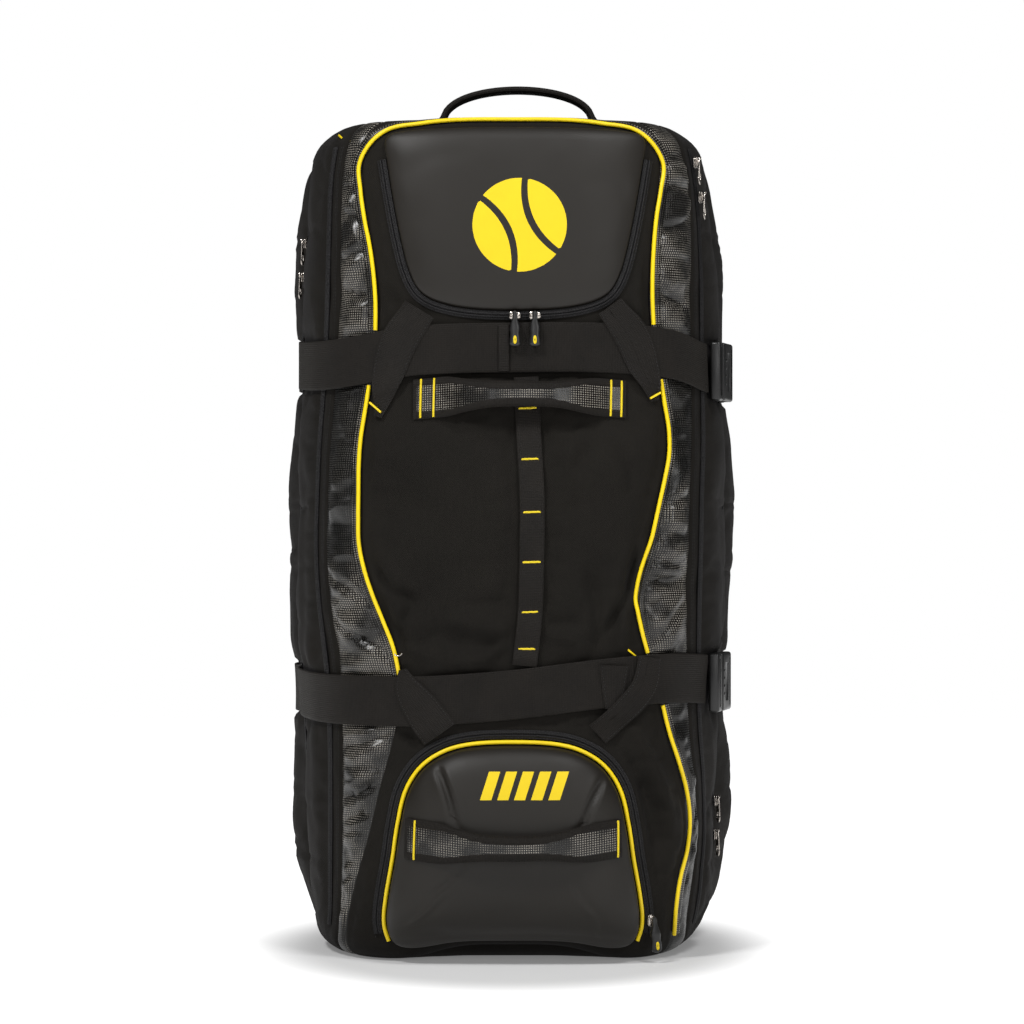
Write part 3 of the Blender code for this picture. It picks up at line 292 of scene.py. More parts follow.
LOWER_LINE = (
    # t, drop
    (-9.0, 0.12),
    (-5.0, 0.12),
    (-2.0, 0.17),
    (-1.0, 0.17),
    (0.0, 0.04),
    (1.0, -0.18),
    (2.0, -0.27),
    (3.0, -0.22),
    (4.0, -0.12),
    (9.0, -0.12),
)

STRAPS = {"upper": (UPPER_LINE, STRAP_UPPER_Z), "lower": (LOWER_LINE, STRAP_LOWER_Z)}
SIDE_ZIPS = ("side_zip_left", "side_zip_right", "rear_zip_left", "rear_zip_right")

# Webbing over the straps, as seen from the front: x as a share of half the bag's width,
# then the share of the way down from its upper end, and its width as a share of a strap's.
BRACES = {
    "brace_upper_left": (
        # x, down, wide
        (-0.392, 0.00, 0.68),
        (-0.477, 0.31, 0.72),
        (-0.523, 0.62, 0.60),
        (-0.553, 0.87, 0.32),
        (-0.568, 1.00, 0.16),
    ),
    "brace_upper_right": (
        # x, down, wide
        (0.414, -0.03, 0.56),
        (0.502, 0.24, 0.68),
        (0.553, 0.52, 0.60),
        (0.587, 0.71, 0.36),
        (0.606, 0.85, 0.16),
    ),
    "brace_lower_left": (
        # x, down, wide
        (-0.460, 0.00, 0.16),
        (-0.438, 0.29, 0.52),
        (-0.374, 0.65, 0.72),
        (-0.306, 1.00, 0.76),
    ),
    "strap_keeper": (
        # x, down, wide
        (0.430, -0.06, 0.58),
        (0.428, 0.29, 0.46),
        (0.426, 0.61, 0.32),
    ),
    "brace_lower_right": (
        # x, down, wide
        (0.575, -0.18, 0.44),
        (0.553, 0.25, 0.50),
        (0.468, 0.65, 0.50),
        (0.362, 1.00, 0.50),
    ),
}

# Pairs of sliders: on the lid's zip at x, and on the side and rear zips at a share of the
# bag's height, the second a pull's length below the first.
LID_PULLS = (("lid_left", 0.003), ("lid_right", 0.023))

POCKET_PULL_Z = 0.040

SIDE_PULLS = (
    ("left", "rear_zip_left", 0.865),
    ("right_top", "side_zip_right", 0.955),
    ("right_low", "rear_zip_right", 0.176),
)

# Broad creases of the soft front. x and z are shares of half the width and of the height,
# long and wide are radii as shares of the width, lean is degrees from upright, and deep is
# a share of the front's depth.
FOLDS = (
    # x, z, long, wide, lean, deep
    (-0.39, 0.435, 0.128, 0.051, -32.0, 0.035),
    (0.44, 0.455, 0.149, 0.047, 14.0, 0.035),
    (0.66, 0.450, 0.043, 0.072, 8.0, 0.024),
    (-0.67, 0.375, 0.038, 0.077, -20.0, 0.021),
    (-0.66, 0.790, 0.038, 0.072, 10.0, 0.018),
    (0.70, 0.790, 0.043, 0.068, -8.0, 0.021),
)

# Handle grips from one end to the other: share of the length, then height, thickness and
# rise off the bag as shares of the grip's own.
GRIP_ROWS = (
    # along, tall, thick, rise
    (0.000, 1.00, 0.32, 0.00),
    (0.095, 1.00, 0.34, 0.00),
    (0.160, 0.98, 0.47, 0.18),
    (0.240, 0.83, 0.74, 0.62),
    (0.340, 0.68, 0.95, 0.95),
    (0.500, 0.63, 1.00, 1.00),
    (0.680, 0.66, 0.95, 0.95),
    (0.790, 0.83, 0.74, 0.62),
    (0.865, 0.93, 0.47, 0.18),
    (0.925, 0.93, 0.34, 0.00),
    (1.000, 0.93, 0.32, 0.00),
)

# The daisy chain's sway to the right, as a share of its width, down its length.
CHAIN_ROWS = (
    # down, sway
    (0.00, 0.57),
    (0.20, 0.67),
    (0.42, 0.80),
    (0.65, 0.78),
    (0.82, 0.72),
    (1.00, 0.50),
)


def hermite(start, end, into, out, s):
    """The point at share s of a smooth curve between two points with these slopes."""
    rise = s * s * (3 - 2 * s)
    return start * (1 - rise) + end * rise + into * (s - 2 * s * s + s**3) + out * (s**3 - s * s)


def smooth_column(table, column, at):
    """One column of a table at the given places of its first column, on a smooth curve."""
    rows = np.array(table, float)
    place, value = rows[:, 0], rows[:, column]
    at = np.clip(np.asarray(at, float), place[0], place[-1])
    slope = np.gradient(value, place)
    low = np.clip(np.searchsorted(place, at, side="right") - 1, 0, len(place) - 2)
    span = place[low + 1] - place[low]
    s = (at - place[low]) / span
    return hermite(value[low], value[low + 1], span * slope[low], span * slope[low + 1], s)


def station_points(z):
    """Plan points of every station at heights z, from the back round the front and back."""
    share = z / HEIGHT
    half = WIDTH / 2
    ahead = FRONT_DEPTH * smooth_column(ROWS, 5, share)
    points = []
    for side, wide_column, rear_column in ((-1, 1, 3), (1, 2, 4)):
        wide = half * smooth_column(ROWS, wide_column, share)
        rear = half * smooth_column(ROWS, rear_column, share)
        line = []
        for across, along, is_rear in STATIONS:
            x = side * across * (rear if is_rear else wide)
            y = along * (ahead if along < 0 else BACK_DEPTH)
            line.append(np.stack([x, y + 0 * x], -1))
        points.append(line)
    return np.stack(points[0][:0:-1] + points[1], 0)


def plan_point(t, z):
    """Points of the plan section at station t and height z."""
    count = 2 * BACK_T
    stations = station_points(z)[:count]
    t = np.mod(t + BACK_T, count)
    low = np.floor(t).astype(int)
    place = np.arange(len(t))
    before, start, end, after = (stations[np.mod(low + k, count), place] for k in (-1, 0, 1, 2))
    return hermite(start, end, (end - before) / 2, (after - start) / 2, (t - low)[:, None])


def plan_normal(t, z):
    step = 1e-3
    along = plan_point(t + step, z) - plan_point(t - step, z)
    normal = np.stack([along[:, 1], -along[:, 0]], -1)
    return normal / np.linalg.norm(normal, axis=1)[:, None]


def bell(off, wide):
    """1 where off is 0, falling smoothly towards 0 beyond this width."""
    return np.exp(-((off / wide) ** 2))


def fold_depth(x, z):
    """How far the broad creases sink the cloth at (x, z)."""
    depth = 0 * x
    for across, up, long, wide, lean, deep in FOLDS:
        turn = math.radians(lean)
        dx, dz = x - across * WIDTH / 2, z - up * HEIGHT
        along = dz * math.cos(turn) + dx * math.sin(turn)
        aside = dx * math.cos(turn) - dz * math.sin(turn)
        depth = depth + deep * FRONT_DEPTH * bell(along, long * WIDTH) * bell(aside, wide * WIDTH)
    return depth


def wall(t, z, lift=0.0, folded=False):
    """Points of the bag's outside at (t, z), lifted off it, with the rounded edges."""
    t, z, lift = np.broadcast_arrays(*(np.asarray(v, float) for v in (t, z, lift)))
    shape = t.shape
    t, z, lift = t.ravel(), z.ravel(), lift.ravel()
    low = np.clip((BASE_ROUND - z) / BASE_ROUND, 0, 1)
    high = np.clip((z - HEIGHT + TOP_ROUND) / TOP_ROUND, 0, 1)
    upright = np.sqrt(np.clip(1 - low**2 - high**2, 0, 1))
    inset = (BASE_ROUND * (low > 0) + TOP_ROUND * (high > 0)) * (1 - upright)
    plan, normal = plan_point(t, z), plan_normal(t, z)
    if folded:
        ahead = np.clip((-normal[:, 1] - 0.25) / 0.3, 0, 1)
        lift = lift - ahead * fold_depth(plan[:, 0], z)
    turned_in = 1 - inset[:, None] / np.array([WIDTH / 2, (FRONT_DEPTH + BACK_DEPTH) / 2])
    flat = plan * turned_in + normal * (lift * upright)[:, None]
    front = np.clip(-plan[:, 1] / FRONT_DEPTH, 0, 1) ** 2
    arch = np.exp(-((plan[:, 0] / FRONT_ARCH_HALF) ** 4)) * front
    rise = FRONT_ARCH * arch * np.clip(1 - z / FRONT_ARCH_TALL, 0, 1) ** 2
    up = z + lift * (high - low) + rise
    return np.concatenate([flat, up[:, None]], 1).reshape(*shape, 3)


def station_of(x, z):
    """The station t on the front or side whose plan point has this x at height z."""
    x, z = np.broadcast_arrays(np.asarray(x, float), np.asarray(z, float))
    shape = x.shape
    x, z = x.ravel(), z.ravel()
    side = np.where(x < 0, -1.0, 1.0)
    low, high = np.zeros(len(x)), np.full(len(x), 5.0)
    for _ in range(34):
        middle = (low + high) / 2
        inside = np.abs(plan_point(side * middle, z)[:, 0]) < np.abs(x)
        low, high = np.where(inside, middle, low), np.where(inside, high, middle)
    return (side * (low + high) / 2).reshape(shape)


def front(x, z, lift=0.0):
    """Points of the bag's outside seen at (x, z) from the front, lifted off it."""
    return wall(station_of(x, z), z, lift)


def seam_x(column, z):
    side = -1 if column in (1, 3) else 1
    return side * smooth_column(SEAMS, column, z / HEIGHT) * WIDTH / 2


def strap_z(line, height, t):
    return height - WEBBING * smooth_column(line, 1, t)


def strap_lift(t):
    """Straps clear the zips and the piping in front, and lie close to the bag behind."""
    return STRAP_REAR_LIFT + (STRAP_LIFT - STRAP_REAR_LIFT) * smooth_step((GROOVE_T - np.abs(t)) / 0.3)


def pace_at(t, z):
    """Metres round the bag for each station, at stations t and heights z."""
    return np.linalg.norm(plan_point(t + 0.01, z) - plan_point(t - 0.01, z), axis=1) / 0.02


def body_edges(z):
    """Stations of the body's seams at heights z, from the left groove to the right."""
    flat = 0 * z
    piping = [station_of(seam_x(c, z), z) for c in (1, 2)]
    gusset = [station_of(seam_x(c, z), z) for c in (3, 4)]
    return {
        "back_left": flat - CORNER_T,
        "groove_left": flat - GROOVE_T,
        "gusset_left": gusset[0],
        "piping_left": piping[0],
        "piping_right": piping[1],
        "gusset_right": gusset[1],
        "groove_right": flat + GROOVE_T,
        "back_right": flat + CORNER_T,
        "back_end": flat + 2 * BACK_T - CORNER_T,
    }


BODY_PANELS = (
    # name, left edge, right edge, finish
    ("front_panel", "piping_left", "piping_right", "polyester"),
    ("mesh_gusset_right", "piping_right", "gusset_right", "mesh_cloth"),
    ("side_panel_right", "gusset_right", "groove_right", "polyester"),
    ("rear_band_right", "groove_right", "back_right", "polyester"),
    ("back_panel", "back_right", "back_end", "polyester"),
    ("rear_band_left", "back_left", "groove_left", "polyester"),
    ("side_panel_left", "groove_left", "gusset_left", "polyester"),
    ("mesh_gusset_left", "gusset_left", "piping_left", "mesh_cloth"),
)


def outline_points(half_outline, width, height, foot, shift, count, grow=0.0):
    """A closed outline of (x, z) from the table of its right half, grown outward."""
    right = np.array(half_outline, float)
    whole = np.concatenate([right, right[-2:0:-1] * (-1, 1)]) * (width / 2, height)
    run = run_length(np.concatenate([whole, whole[:1]]))
    at = np.linspace(0, run[-1], count, endpoint=False)
    gait = np.diff(run)
    pace = (gait + np.roll(gait, 1))[:, None]
    tangent = (np.roll(whole, -1, 0) - np.roll(whole, 1, 0)) / pace
    low = np.clip(np.searchsorted(run, at, side="right") - 1, 0, len(whole) - 1)
    high = (low + 1) % len(whole)
    span = gait[low][:, None]
    s = (at - run[low])[:, None] / span
    points = hermite(whole[low], whole[high], span * tangent[low], span * tangent[high], s)
    turn = np.roll(points, -1, 0) - np.roll(points, 1, 0)
    outward = np.stack([turn[:, 1], -turn[:, 0]], -1)
    outward /= np.linalg.norm(outward, axis=1)[:, None]
    return points + outward * grow + (shift, foot)


def lid_outline(count, grow=0.0):
    foot = LID_TOP_Z - LID_HEIGHT
    return outline_points(LID_OUTLINE, LID_WIDTH, LID_HEIGHT, foot, LID_SHIFT, count, grow)


def pocket_outline(count, grow=0.0):
    return outline_points(
        POCKET_OUTLINE, POCKET_WIDTH, POCKET_HEIGHT, POCKET_BASE_Z, POCKET_SHIFT, count, grow
    )


def open_run(outline, is_open):
    """The points of a closed outline where it is open, in order from one end."""
    begin = int(np.argmax(~np.roll(is_open, 1) & is_open))
    return np.roll(outline, -begin, 0)[: int(is_open.sum())]


def path_points(corners, spacing):
    """Points about this far apart on a smooth curve through the corners."""
    corners = np.array(corners, float)
    run = run_length(corners)
    table = np.concatenate([run[:, None], corners], 1)
    at = np.linspace(0, run[-1], max(2, int(round(run[-1] / spacing)) + 1))
    return np.stack([smooth_column(table, c + 1, at) for c in range(corners.shape[1])], -1)


def leftward(line):
    """Unit directions to the left of a flat line of points."""
    along = np.gradient(line, axis=0)
    along /= np.linalg.norm(along, axis=1)[:, None]
    return np.stack([-along[:, 1], along[:, 0]], -1)


def squarish(turn, power_x, power_y):
    """x and y of a circle at these turns, squared off by powers below 1."""
    x, y = np.cos(turn), np.sin(turn)
    return np.sign(x) * np.abs(x) ** power_x, np.sign(y) * np.abs(y) ** power_y


def seam_corners(column, z_from, z_to, count):
    z = np.linspace(z_from, z_to, count)
    return np.stack([seam_x(column, z), z], -1)


def strap_edge(line, height, column, side):
    """Height where a piped seam meets a strap's edge: side 1 is above it, -1 below."""
    z = height
    for _ in range(6):
        t = float(station_of(seam_x(column, z), z))
        z = float(strap_z(line, height, t)) + side * (WEBBING / 2 + PIPING_RADIUS)
    return z


def zip_station(name, z):
    """Stations of a side zip, behind the gusset's edge, or of a rear zip, at heights z."""
    side = -1 if name.endswith("left") else 1
    if name.startswith("rear"):
        return side * REAR_ZIP_T + 0 * z
    column = 3 if side < 0 else 4
    return station_of(seam_x(column, z), z) + side * SIDE_ZIP_BEHIND


def surface_frame(t, z, lift):
    """A frame on the bag: x along the wall to the right, y up it, z outward."""
    place = Vector(wall(t, z, lift))
    along = Vector(wall(t + 0.02, z, lift)) - Vector(wall(t - 0.02, z, lift))
    along.normalize()
    up = Vector((0, 0, 1))
    out = along.cross(up).normalized()
    frame = Matrix((along, up, out)).transposed().to_4x4()
    frame.translation = place
    return frame


def buckle_ends(line, height):
    """Stations where the strap meets the buckle's two ends."""
    z = float(strap_z(line, height, BUCKLE_T))
    frame = surface_frame(BUCKLE_T, z, STRAP_LIFT)
    t = np.linspace(BUCKLE_T - 1.5, BUCKLE_T + 1.5, 201)
    run = (wall(t, z, STRAP_LIFT) - np.array(frame.translation)) @ np.array(frame.col[0][:3])
    ahead = BUCKLE_LENGTH / 2 + PLUG_BASE + 2 * BUCKLE_GAP
    behind = BUCKLE_LENGTH / 2 + BUCKLE_GAP
    return np.interp((-ahead, behind), run, t)


# Colours of the real finishes, in sRGB hex.
POLYESTER_HEX = "#171512"
COATED_HEX = "#1B1814"
MESH_GROUND_HEX = "#080807"
MESH_DOT_HEX = "#77726A"
WEBBING_HEX = "#13100D"
PIPING_HEX = "#EACB06"
THREAD_HEX = "#E4C812"
PRINT_HEX = "#DDC00A"
ZIP_HEX = "#0D0C0D"
NICKEL_HEX = "#B9B2AB"
PLASTIC_HEX = "#121212"
BLACK_THREAD_HEX = "#131213"
# A grey floor colour, so that round the bag's base, where the glow is least, the floor reads darker:
# part of a painted contact shadow.
FLOOR_HEX = "#C6C6C6"

# A white floor that glows though it is no lamp: its glow is least round the bag's base, a painted
# contact shadow, and grows between these distances.
# Distances are from the point GLOW_BACK, and are shortened across by GLOW_ACROSS.
FLOOR_GLOW = 0.97
GLOW_NEAR = 0.26
GLOW_FAR = 0.43
GLOW_BACK = 0.02
GLOW_ACROSS = 1.35

# Surface detail, in metres.
WEAVE_PITCH = 0.0012
DOT_PITCH = 0.0023
RIB_PITCH = 0.0016
COIL_PITCH = 0.0017
STITCH_LENGTH = 0.0026
STITCH_PITCH = 0.0036
STITCH_WIDTH = 0.0007
THREAD_LIFT = 0.0002
ZIP_STITCH_LIFT = 0.0009
ZIP_STITCH_ASIDE = 0.0036
SIDE_STITCH_ASIDE = 0.0038
BRACE_STITCH_INSET = 0.0022
CORD_STEP = 0.0045
TAPE_STEP = 0.004
CHAIN_STEP = 0.0035
END_RADIUS = 0.0011
WIRE_RADIUS = 0.0007
SEAM_CORD_RADIUS = 0.00115

# Body cloth.
ROW_SPACING = 0.0045
EDGE_STEPS = (0.0, 0.0012, 0.0028, 0.0050, 0.0080)
SEAM_DEPTH = 0.0016
SEAM_WIDE = 0.0024
TURNED_EDGE = 0.0050
PANEL_MIDDLES = {
    "front_panel": 64,
    "mesh_gusset_left": 10,
    "mesh_gusset_right": 10,
    "side_panel_left": 22,
    "side_panel_right": 22,
    "rear_band_left": 34,
    "rear_band_right": 34,
    "back_panel": 44,
}

# Creases of the front as seen from ahead: both ends in mm from the front centre and the
# floor, the bow of the line to its left, its width, and its depth. A depth below 0 is a ridge.
CREASES = (
    # x0, z0, x1, z1, bow, wide, deep
    (-136, 398, -98, 366, -5, 9, 4.5),
    (-97, 364, -112, 304, -6, 8, 2.6),
    (-120, 385, -108, 330, 5, 13, -2.0),
    (-60, 345, 6, 338, -6, 16, -2.2),
    (-95, 325, -10, 318, 8, 17, 3.2),
    (-62, 302, 2, 330, -7, 9, -1.8),
    (78, 520, 58, 440, -9, 11, 1.6),
    (103, 520, 118, 470, 6, 9, 1.7),
    (98, 478, 88, 452, 0, 22, 1.5),
    (124, 420, 92, 330, 7, 8, 4.2),
    (112, 372, 104, 312, 3, 11, -2.4),
    (74, 400, 82, 318, 6, 8, 2.4),
    (20, 352, 66, 344, -7, 13, 2.6),
    (40, 330, 70, 320, 4, 13, -1.8),
    (142, 470, 128, 350, -6, 7, -1.5),
    (-52, 640, -104, 700, 6, 10, -1.5),
    (-100, 772, -78, 640, -4, 8, 2.0),
    (-118, 780, -106, 650, 3, 7, -1.6),
    (-92, 660, -104, 636, 2, 6, 2.6),
    (120, 790, 98, 660, 4, 9, 2.8),
    (134, 770, 128, 640, -4, 8, -1.8),
    (104, 672, 116, 640, 3, 7, 2.4),
    (-120, 232, -82, 212, 4, 8, 3.0),
    (-96, 246, -60, 214, -5, 8, -2.2),
    (-128, 208, -108, 150, 4, 9, 2.0),
    (-70, 238, -8, 226, 4, 9, -1.8),
    (-64, 226, 20, 236, -5, 8, 1.8),
    (30, 240, 84, 228, 5, 9, 1.7),
    (104, 216, 148, 96, 9, 12, 3.4),
    (120, 240, 158, 130, 7, 10, -2.4),
    (132, 188, 150, 152, -5, 9, 2.2),
    (122, 122, 150, 60, 5, 10, 2.0),
    (-146, 130, -136, 40, 5, 8, 2.0),
)

# How much deeper the front's creases are than in the table.
FRONT_FOLDS = 2.9

# Puckers across the gussets: their height in mm, how they lean, and their width and depth.
PUCKER_DEPTH = 2.3
LEFT_PUCKERS = (
    # z, lean, wide, deep
    (778, 0.10, 9, 2.0),
    (752, -0.15, 8, 2.6),
    (712, 0.25, 9, 3.4),
    (672, -0.20, 9, 2.8),
    (610, 0.20, 12, 1.6),
    (470, 0.35, 14, 2.0),
    (380, -0.55, 8, 3.0),
    (328, -0.65, 9, 3.6),
    (220, 0.30, 9, 3.6),
    (196, -0.10, 7, 1.8),
    (170, 0.35, 8, 3.4),
    (146, 0.30, 8, 3.0),
    (131, 0.05, 6, 1.8),
    (116, 0.25, 7, 2.6),
    (84, 0.20, 7, 2.4),
    (52, 0.10, 7, 1.8),
)
RIGHT_PUCKERS = (
    # z, lean, wide, deep
    (812, 0.10, 10, 2.4),
    (782, -0.10, 9, 3.2),
    (742, 0.25, 10, 3.6),
    (706, -0.10, 12, 2.2),
    (668, -0.55, 10, 3.6),
    (560, 0.30, 12, 1.8),
    (466, 0.15, 10, 1.8),
    (432, -0.10, 8, 3.2),
    (404, -0.30, 8, 3.4),
    (384, 0.10, 9, 2.4),
    (340, 0.80, 10, 3.2),
    (240, 0.20, 12, 1.6),
    (150, 0.30, 14, 1.6),
)

PUCKERS = {"mesh_gusset_left": LEFT_PUCKERS, "mesh_gusset_right": RIGHT_PUCKERS}

# Body cloth under a little air pressure.
BILLOW_PRESSURE = 2.4
BILLOW_GROWTH = 0.032
BILLOW_FRAMES = 20
BILLOW_CAP = 0.0060
CLOTH = {
    "quality": 4,
    "mass": 0.35,
    "tension_stiffness": 12,
    "compression_stiffness": 12,
    "shear_stiffness": 4,
    "bending_stiffness": 0.06,
    "use_pressure": True,
    "vertex_group_mass": "held",
}


def linear(hex_colour):
    """An sRGB hex colour as linear red, green, blue and full alpha."""
    values = [int(hex_colour[i:i + 2], 16) / 255 for i in (1, 3, 5)]
    return tuple(v / 12.92 if v < 0.04045 else ((v + 0.055) / 1.055) ** 2.4 for v in values) + (1.0,)


def smooth_step(value):
    value = np.clip(value, 0, 1)
    return value * value * (3 - 2 * value)


def swells(u, v, size, seed):
    """Smooth random rises and dips of this size, from -1 to 1, the same on every run."""
    table = np.random.default_rng(seed).uniform(-1, 1, (64, 64))
    u, v = np.broadcast_arrays(np.asarray(u, float) / size, np.asarray(v, float) / size)
    a, b = np.floor(u).astype(int), np.floor(v).astype(int)
    s, t = smooth_step(u - a), smooth_step(v - b)

    def at(i, j):
        return table[(a + i) % 64, (b + j) % 64]

    low = at(0, 0) * (1 - s) + at(1, 0) * s
    return low * (1 - t) + (at(0, 1) * (1 - s) + at(1, 1) * s) * t


def grid_faces(rows, columns, start=0, closed=False):
    """Quads of a grid of points numbered row by row. closed joins the last column to the first."""
    row = np.arange(rows - 1)[:, None] * columns
    here = np.arange(columns if closed else columns - 1)[None, :]
    after = (here + 1) % columns
    quads = np.stack([row + here, row + after, row + columns + after, row + columns + here], -1)
    return (quads.reshape(-1, 4) + start).tolist()


def show(name, data):
    """A new object of the scene with this data."""
    made = bpy.data.objects.new(name, data)
    bpy.context.scene.collection.objects.link(made)
    return made


def flipped(faces):
    """Faces that look the other way."""
    return [tuple(face)[::-1] for face in faces]


def add_piece(name, points, faces, material, slot, nodes=(), uv=None, corner=50):
    """A named mesh object that rides on the bag and stands for CAD nodes."""
    mesh = bpy.data.meshes.new(name)
    mesh.from_pydata(np.asarray(points, float).reshape(-1, 3).tolist(), [], faces)
    if uv is not None:
        layer = mesh.uv_layers.new(name="cloth")
        loops = np.empty(len(mesh.loops), np.int32)
        mesh.loops.foreach_get("vertex_index", loops)
        layer.data.foreach_set("uv", np.asarray(uv, np.float32).reshape(-1, 2)[loops].ravel())
    mesh.shade_smooth()
    mesh.set_sharp_from_angle(angle=math.radians(corner))
    mesh.materials.append(material)
    made = show(name, mesh)
    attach(made, "root")
    if nodes:
        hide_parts(*nodes)
    return made


def join_meshes(parts):
    """Points and faces of several (points, faces) meshes as one."""
    points, faces, start = [], [], 0
    for some_points, some_faces in parts:
        some_points = np.asarray(some_points, float).reshape(-1, 3)
        points.append(some_points)
        faces.extend([tuple(start + i for i in face) for face in some_faces])
        start += len(some_points)
    return np.concatenate(points), faces


def run_length(points):
    """Distance along a line of points, from 0."""
    steps = np.linalg.norm(np.diff(points, axis=0), axis=1)
    return np.concatenate([[0], np.cumsum(steps)])


def loft(rings):
    """Points and faces of a closed solid through rings, flat at both ends."""
    rings = np.asarray(rings, float)
    count, sides = rings.shape[:2]
    ends = [tuple(range(sides)), tuple(range(count * sides - 1, (count - 1) * sides - 1, -1))]
    return rings.reshape(-1, 3), ends + flipped(grid_faces(count, sides, closed=True))


def lofted(name, rings, material, slot, nodes=(), corner=50, across=None):
    """A piece lofted through rings (count, points, 3)."""
    rings = np.asarray(rings, float)
    along = run_length(rings.mean(1))
    if across is None:
        across = run_length(np.concatenate([rings[0], rings[0][:1]]))[:-1]
    uv = np.stack(np.broadcast_arrays(np.asarray(across)[None, :], along[:, None]), -1)
    return add_piece(name, *loft(rings), material, slot, nodes, uv, corner)


def around(points, radius, sides=8):
    """Rings of a round cord along a line of points."""
    points = np.asarray(points, float)
    along = np.gradient(points, axis=0)
    along /= np.linalg.norm(along, axis=1)[:, None]
    up = np.cross(along[0], (0.3, 0.9, 0.1))
    turn = np.linspace(0, 2 * math.pi, sides, endpoint=False)[:, None]
    rings = []
    for place, ahead in zip(points, along):
        up = up - ahead * up.dot(ahead)
        up /= np.linalg.norm(up)
        rings.append(place + radius * (np.cos(turn) * up + np.sin(turn) * np.cross(ahead, up)))
    return np.array(rings)


def wire(node, inputs):
    """Sets inputs of a node, by name or number, to values, or links them to sockets."""
    for key, value in inputs.items():
        if isinstance(value, bpy.types.NodeSocket):
            node.id_data.links.new(value, node.inputs[key])
        else:
            node.inputs[key].default_value = value


def add_node(tree, kind, inputs=(), out=0, **settings):
    """Adds a shader node with its settings and links, and returns one of its outputs."""
    made = tree.nodes.new("ShaderNode" + kind)
    for key, value in settings.items():
        setattr(made, key, value)
    wire(made, inputs if isinstance(inputs, dict) else dict(enumerate(inputs)))
    return made.outputs[out]


def start_material(name, typical):
    """A material, a function that adds its nodes, and its Principled shader."""
    material = bpy.data.materials.new(name)
    material.use_nodes = True
    shader = material.node_tree.nodes["Principled BSDF"]
    wire(shader, typical)
    return material, partial(add_node, material.node_tree), shader


def brighter(colour, times):
    return tuple(min(1.0, v * times) for v in colour[:3]) + (1.0,)


def threads(add, pitch):
    """Cloth coordinates counted in threads, ribs or dots of this pitch, as x and y sockets."""
    place = add("UVMap", uv_map="cloth")
    scaled = add("VectorMath", (place, (1 / pitch, 1 / pitch, 1.0)), operation="MULTIPLY")
    return add("SeparateXYZ", (scaled,)).node.outputs[:2]


def ridges(add, place, per_pitch):
    """Ridges and valleys from 1 to -1, this many to a pitch."""
    turned = add("Math", (place, 2 * math.pi * per_pitch), operation="MULTIPLY")
    return add("Math", (turned,), operation="SINE")


def patches(add, scale, detail=3.0, roughness=0.55, stretch=(1.0, 1.0, 1.0)):
    """Soft random patches that lie in the bag's own space."""
    place = add("VectorMath", (add("TexCoord", out="Object"), stretch), operation="MULTIPLY")
    look = {"Vector": place, "Scale": scale, "Detail": detail, "Roughness": roughness}
    return add("TexNoise", look, "Fac")


def tones(add, share, colour, dark, light):
    """A finish's colour made darker or lighter by share, between these two multiples of it."""
    look = {0: share, 6: brighter(colour, dark), 7: brighter(colour, light)}
    return add("Mix", look, 2, data_type="RGBA")


def woven_polyester(name, colour, pitch):
    """600 denier polyester, plain woven and backed: matt, with a fine grid of threads that
    catches light on its bends. The threads are drawn twice as coarse so that they show."""
    material, add, shader = start_material(name, {"Roughness": 0.82, "Specular IOR Level": 0.10})
    x, y = threads(add, pitch)
    weave = add("Math", (ridges(add, x, 0.5), ridges(add, y, 0.5)), operation="MULTIPLY")
    slub = patches(add, 260.0, 2.0, 0.6, (1.0, 1.0, 0.25))
    share = add("Math", (weave, 0.16, patches(add, 9.0, 4.0)), operation="MULTIPLY_ADD")
    share = add("Math", (slub, 0.35, share), operation="MULTIPLY_ADD")
    share = add("Math", (share, 0.34), operation="SUBTRACT", use_clamp=True)
    height = add("Math", (slub, 1.2, weave), operation="MULTIPLY_ADD")
    wire(shader, {
        "Base Color": tones(add, share, colour, 0.72, 1.55),
        "Sheen Weight": 0.03,
        "Sheen Roughness": 0.45,
        "Sheen Tint": (0.75, 0.74, 0.80, 1.0),
        "Normal": add("Bump", {"Height": height, "Strength": 0.35, "Distance": 0.0004}),
    })
    return material


def coated_cloth(name, colour):
    """Polyurethane coated cloth, pressed smooth: an even charcoal with a soft, wide shine and
    a skin-like grain of about half a millimetre."""
    material, add, shader = start_material(name, {"Roughness": 0.50, "Specular IOR Level": 0.30})
    grain, cloud = patches(add, 900.0, 3.0, 0.6), patches(add, 7.0)
    wire(shader, {
        "Base Color": tones(add, cloud, colour, 0.84, 1.20),
        "Roughness": add("Math", (cloud, 0.16, 0.42), operation="MULTIPLY_ADD"),
        "Normal": add("Bump", {"Height": grain, "Strength": 0.16, "Distance": 0.0003}),
    })
    return material


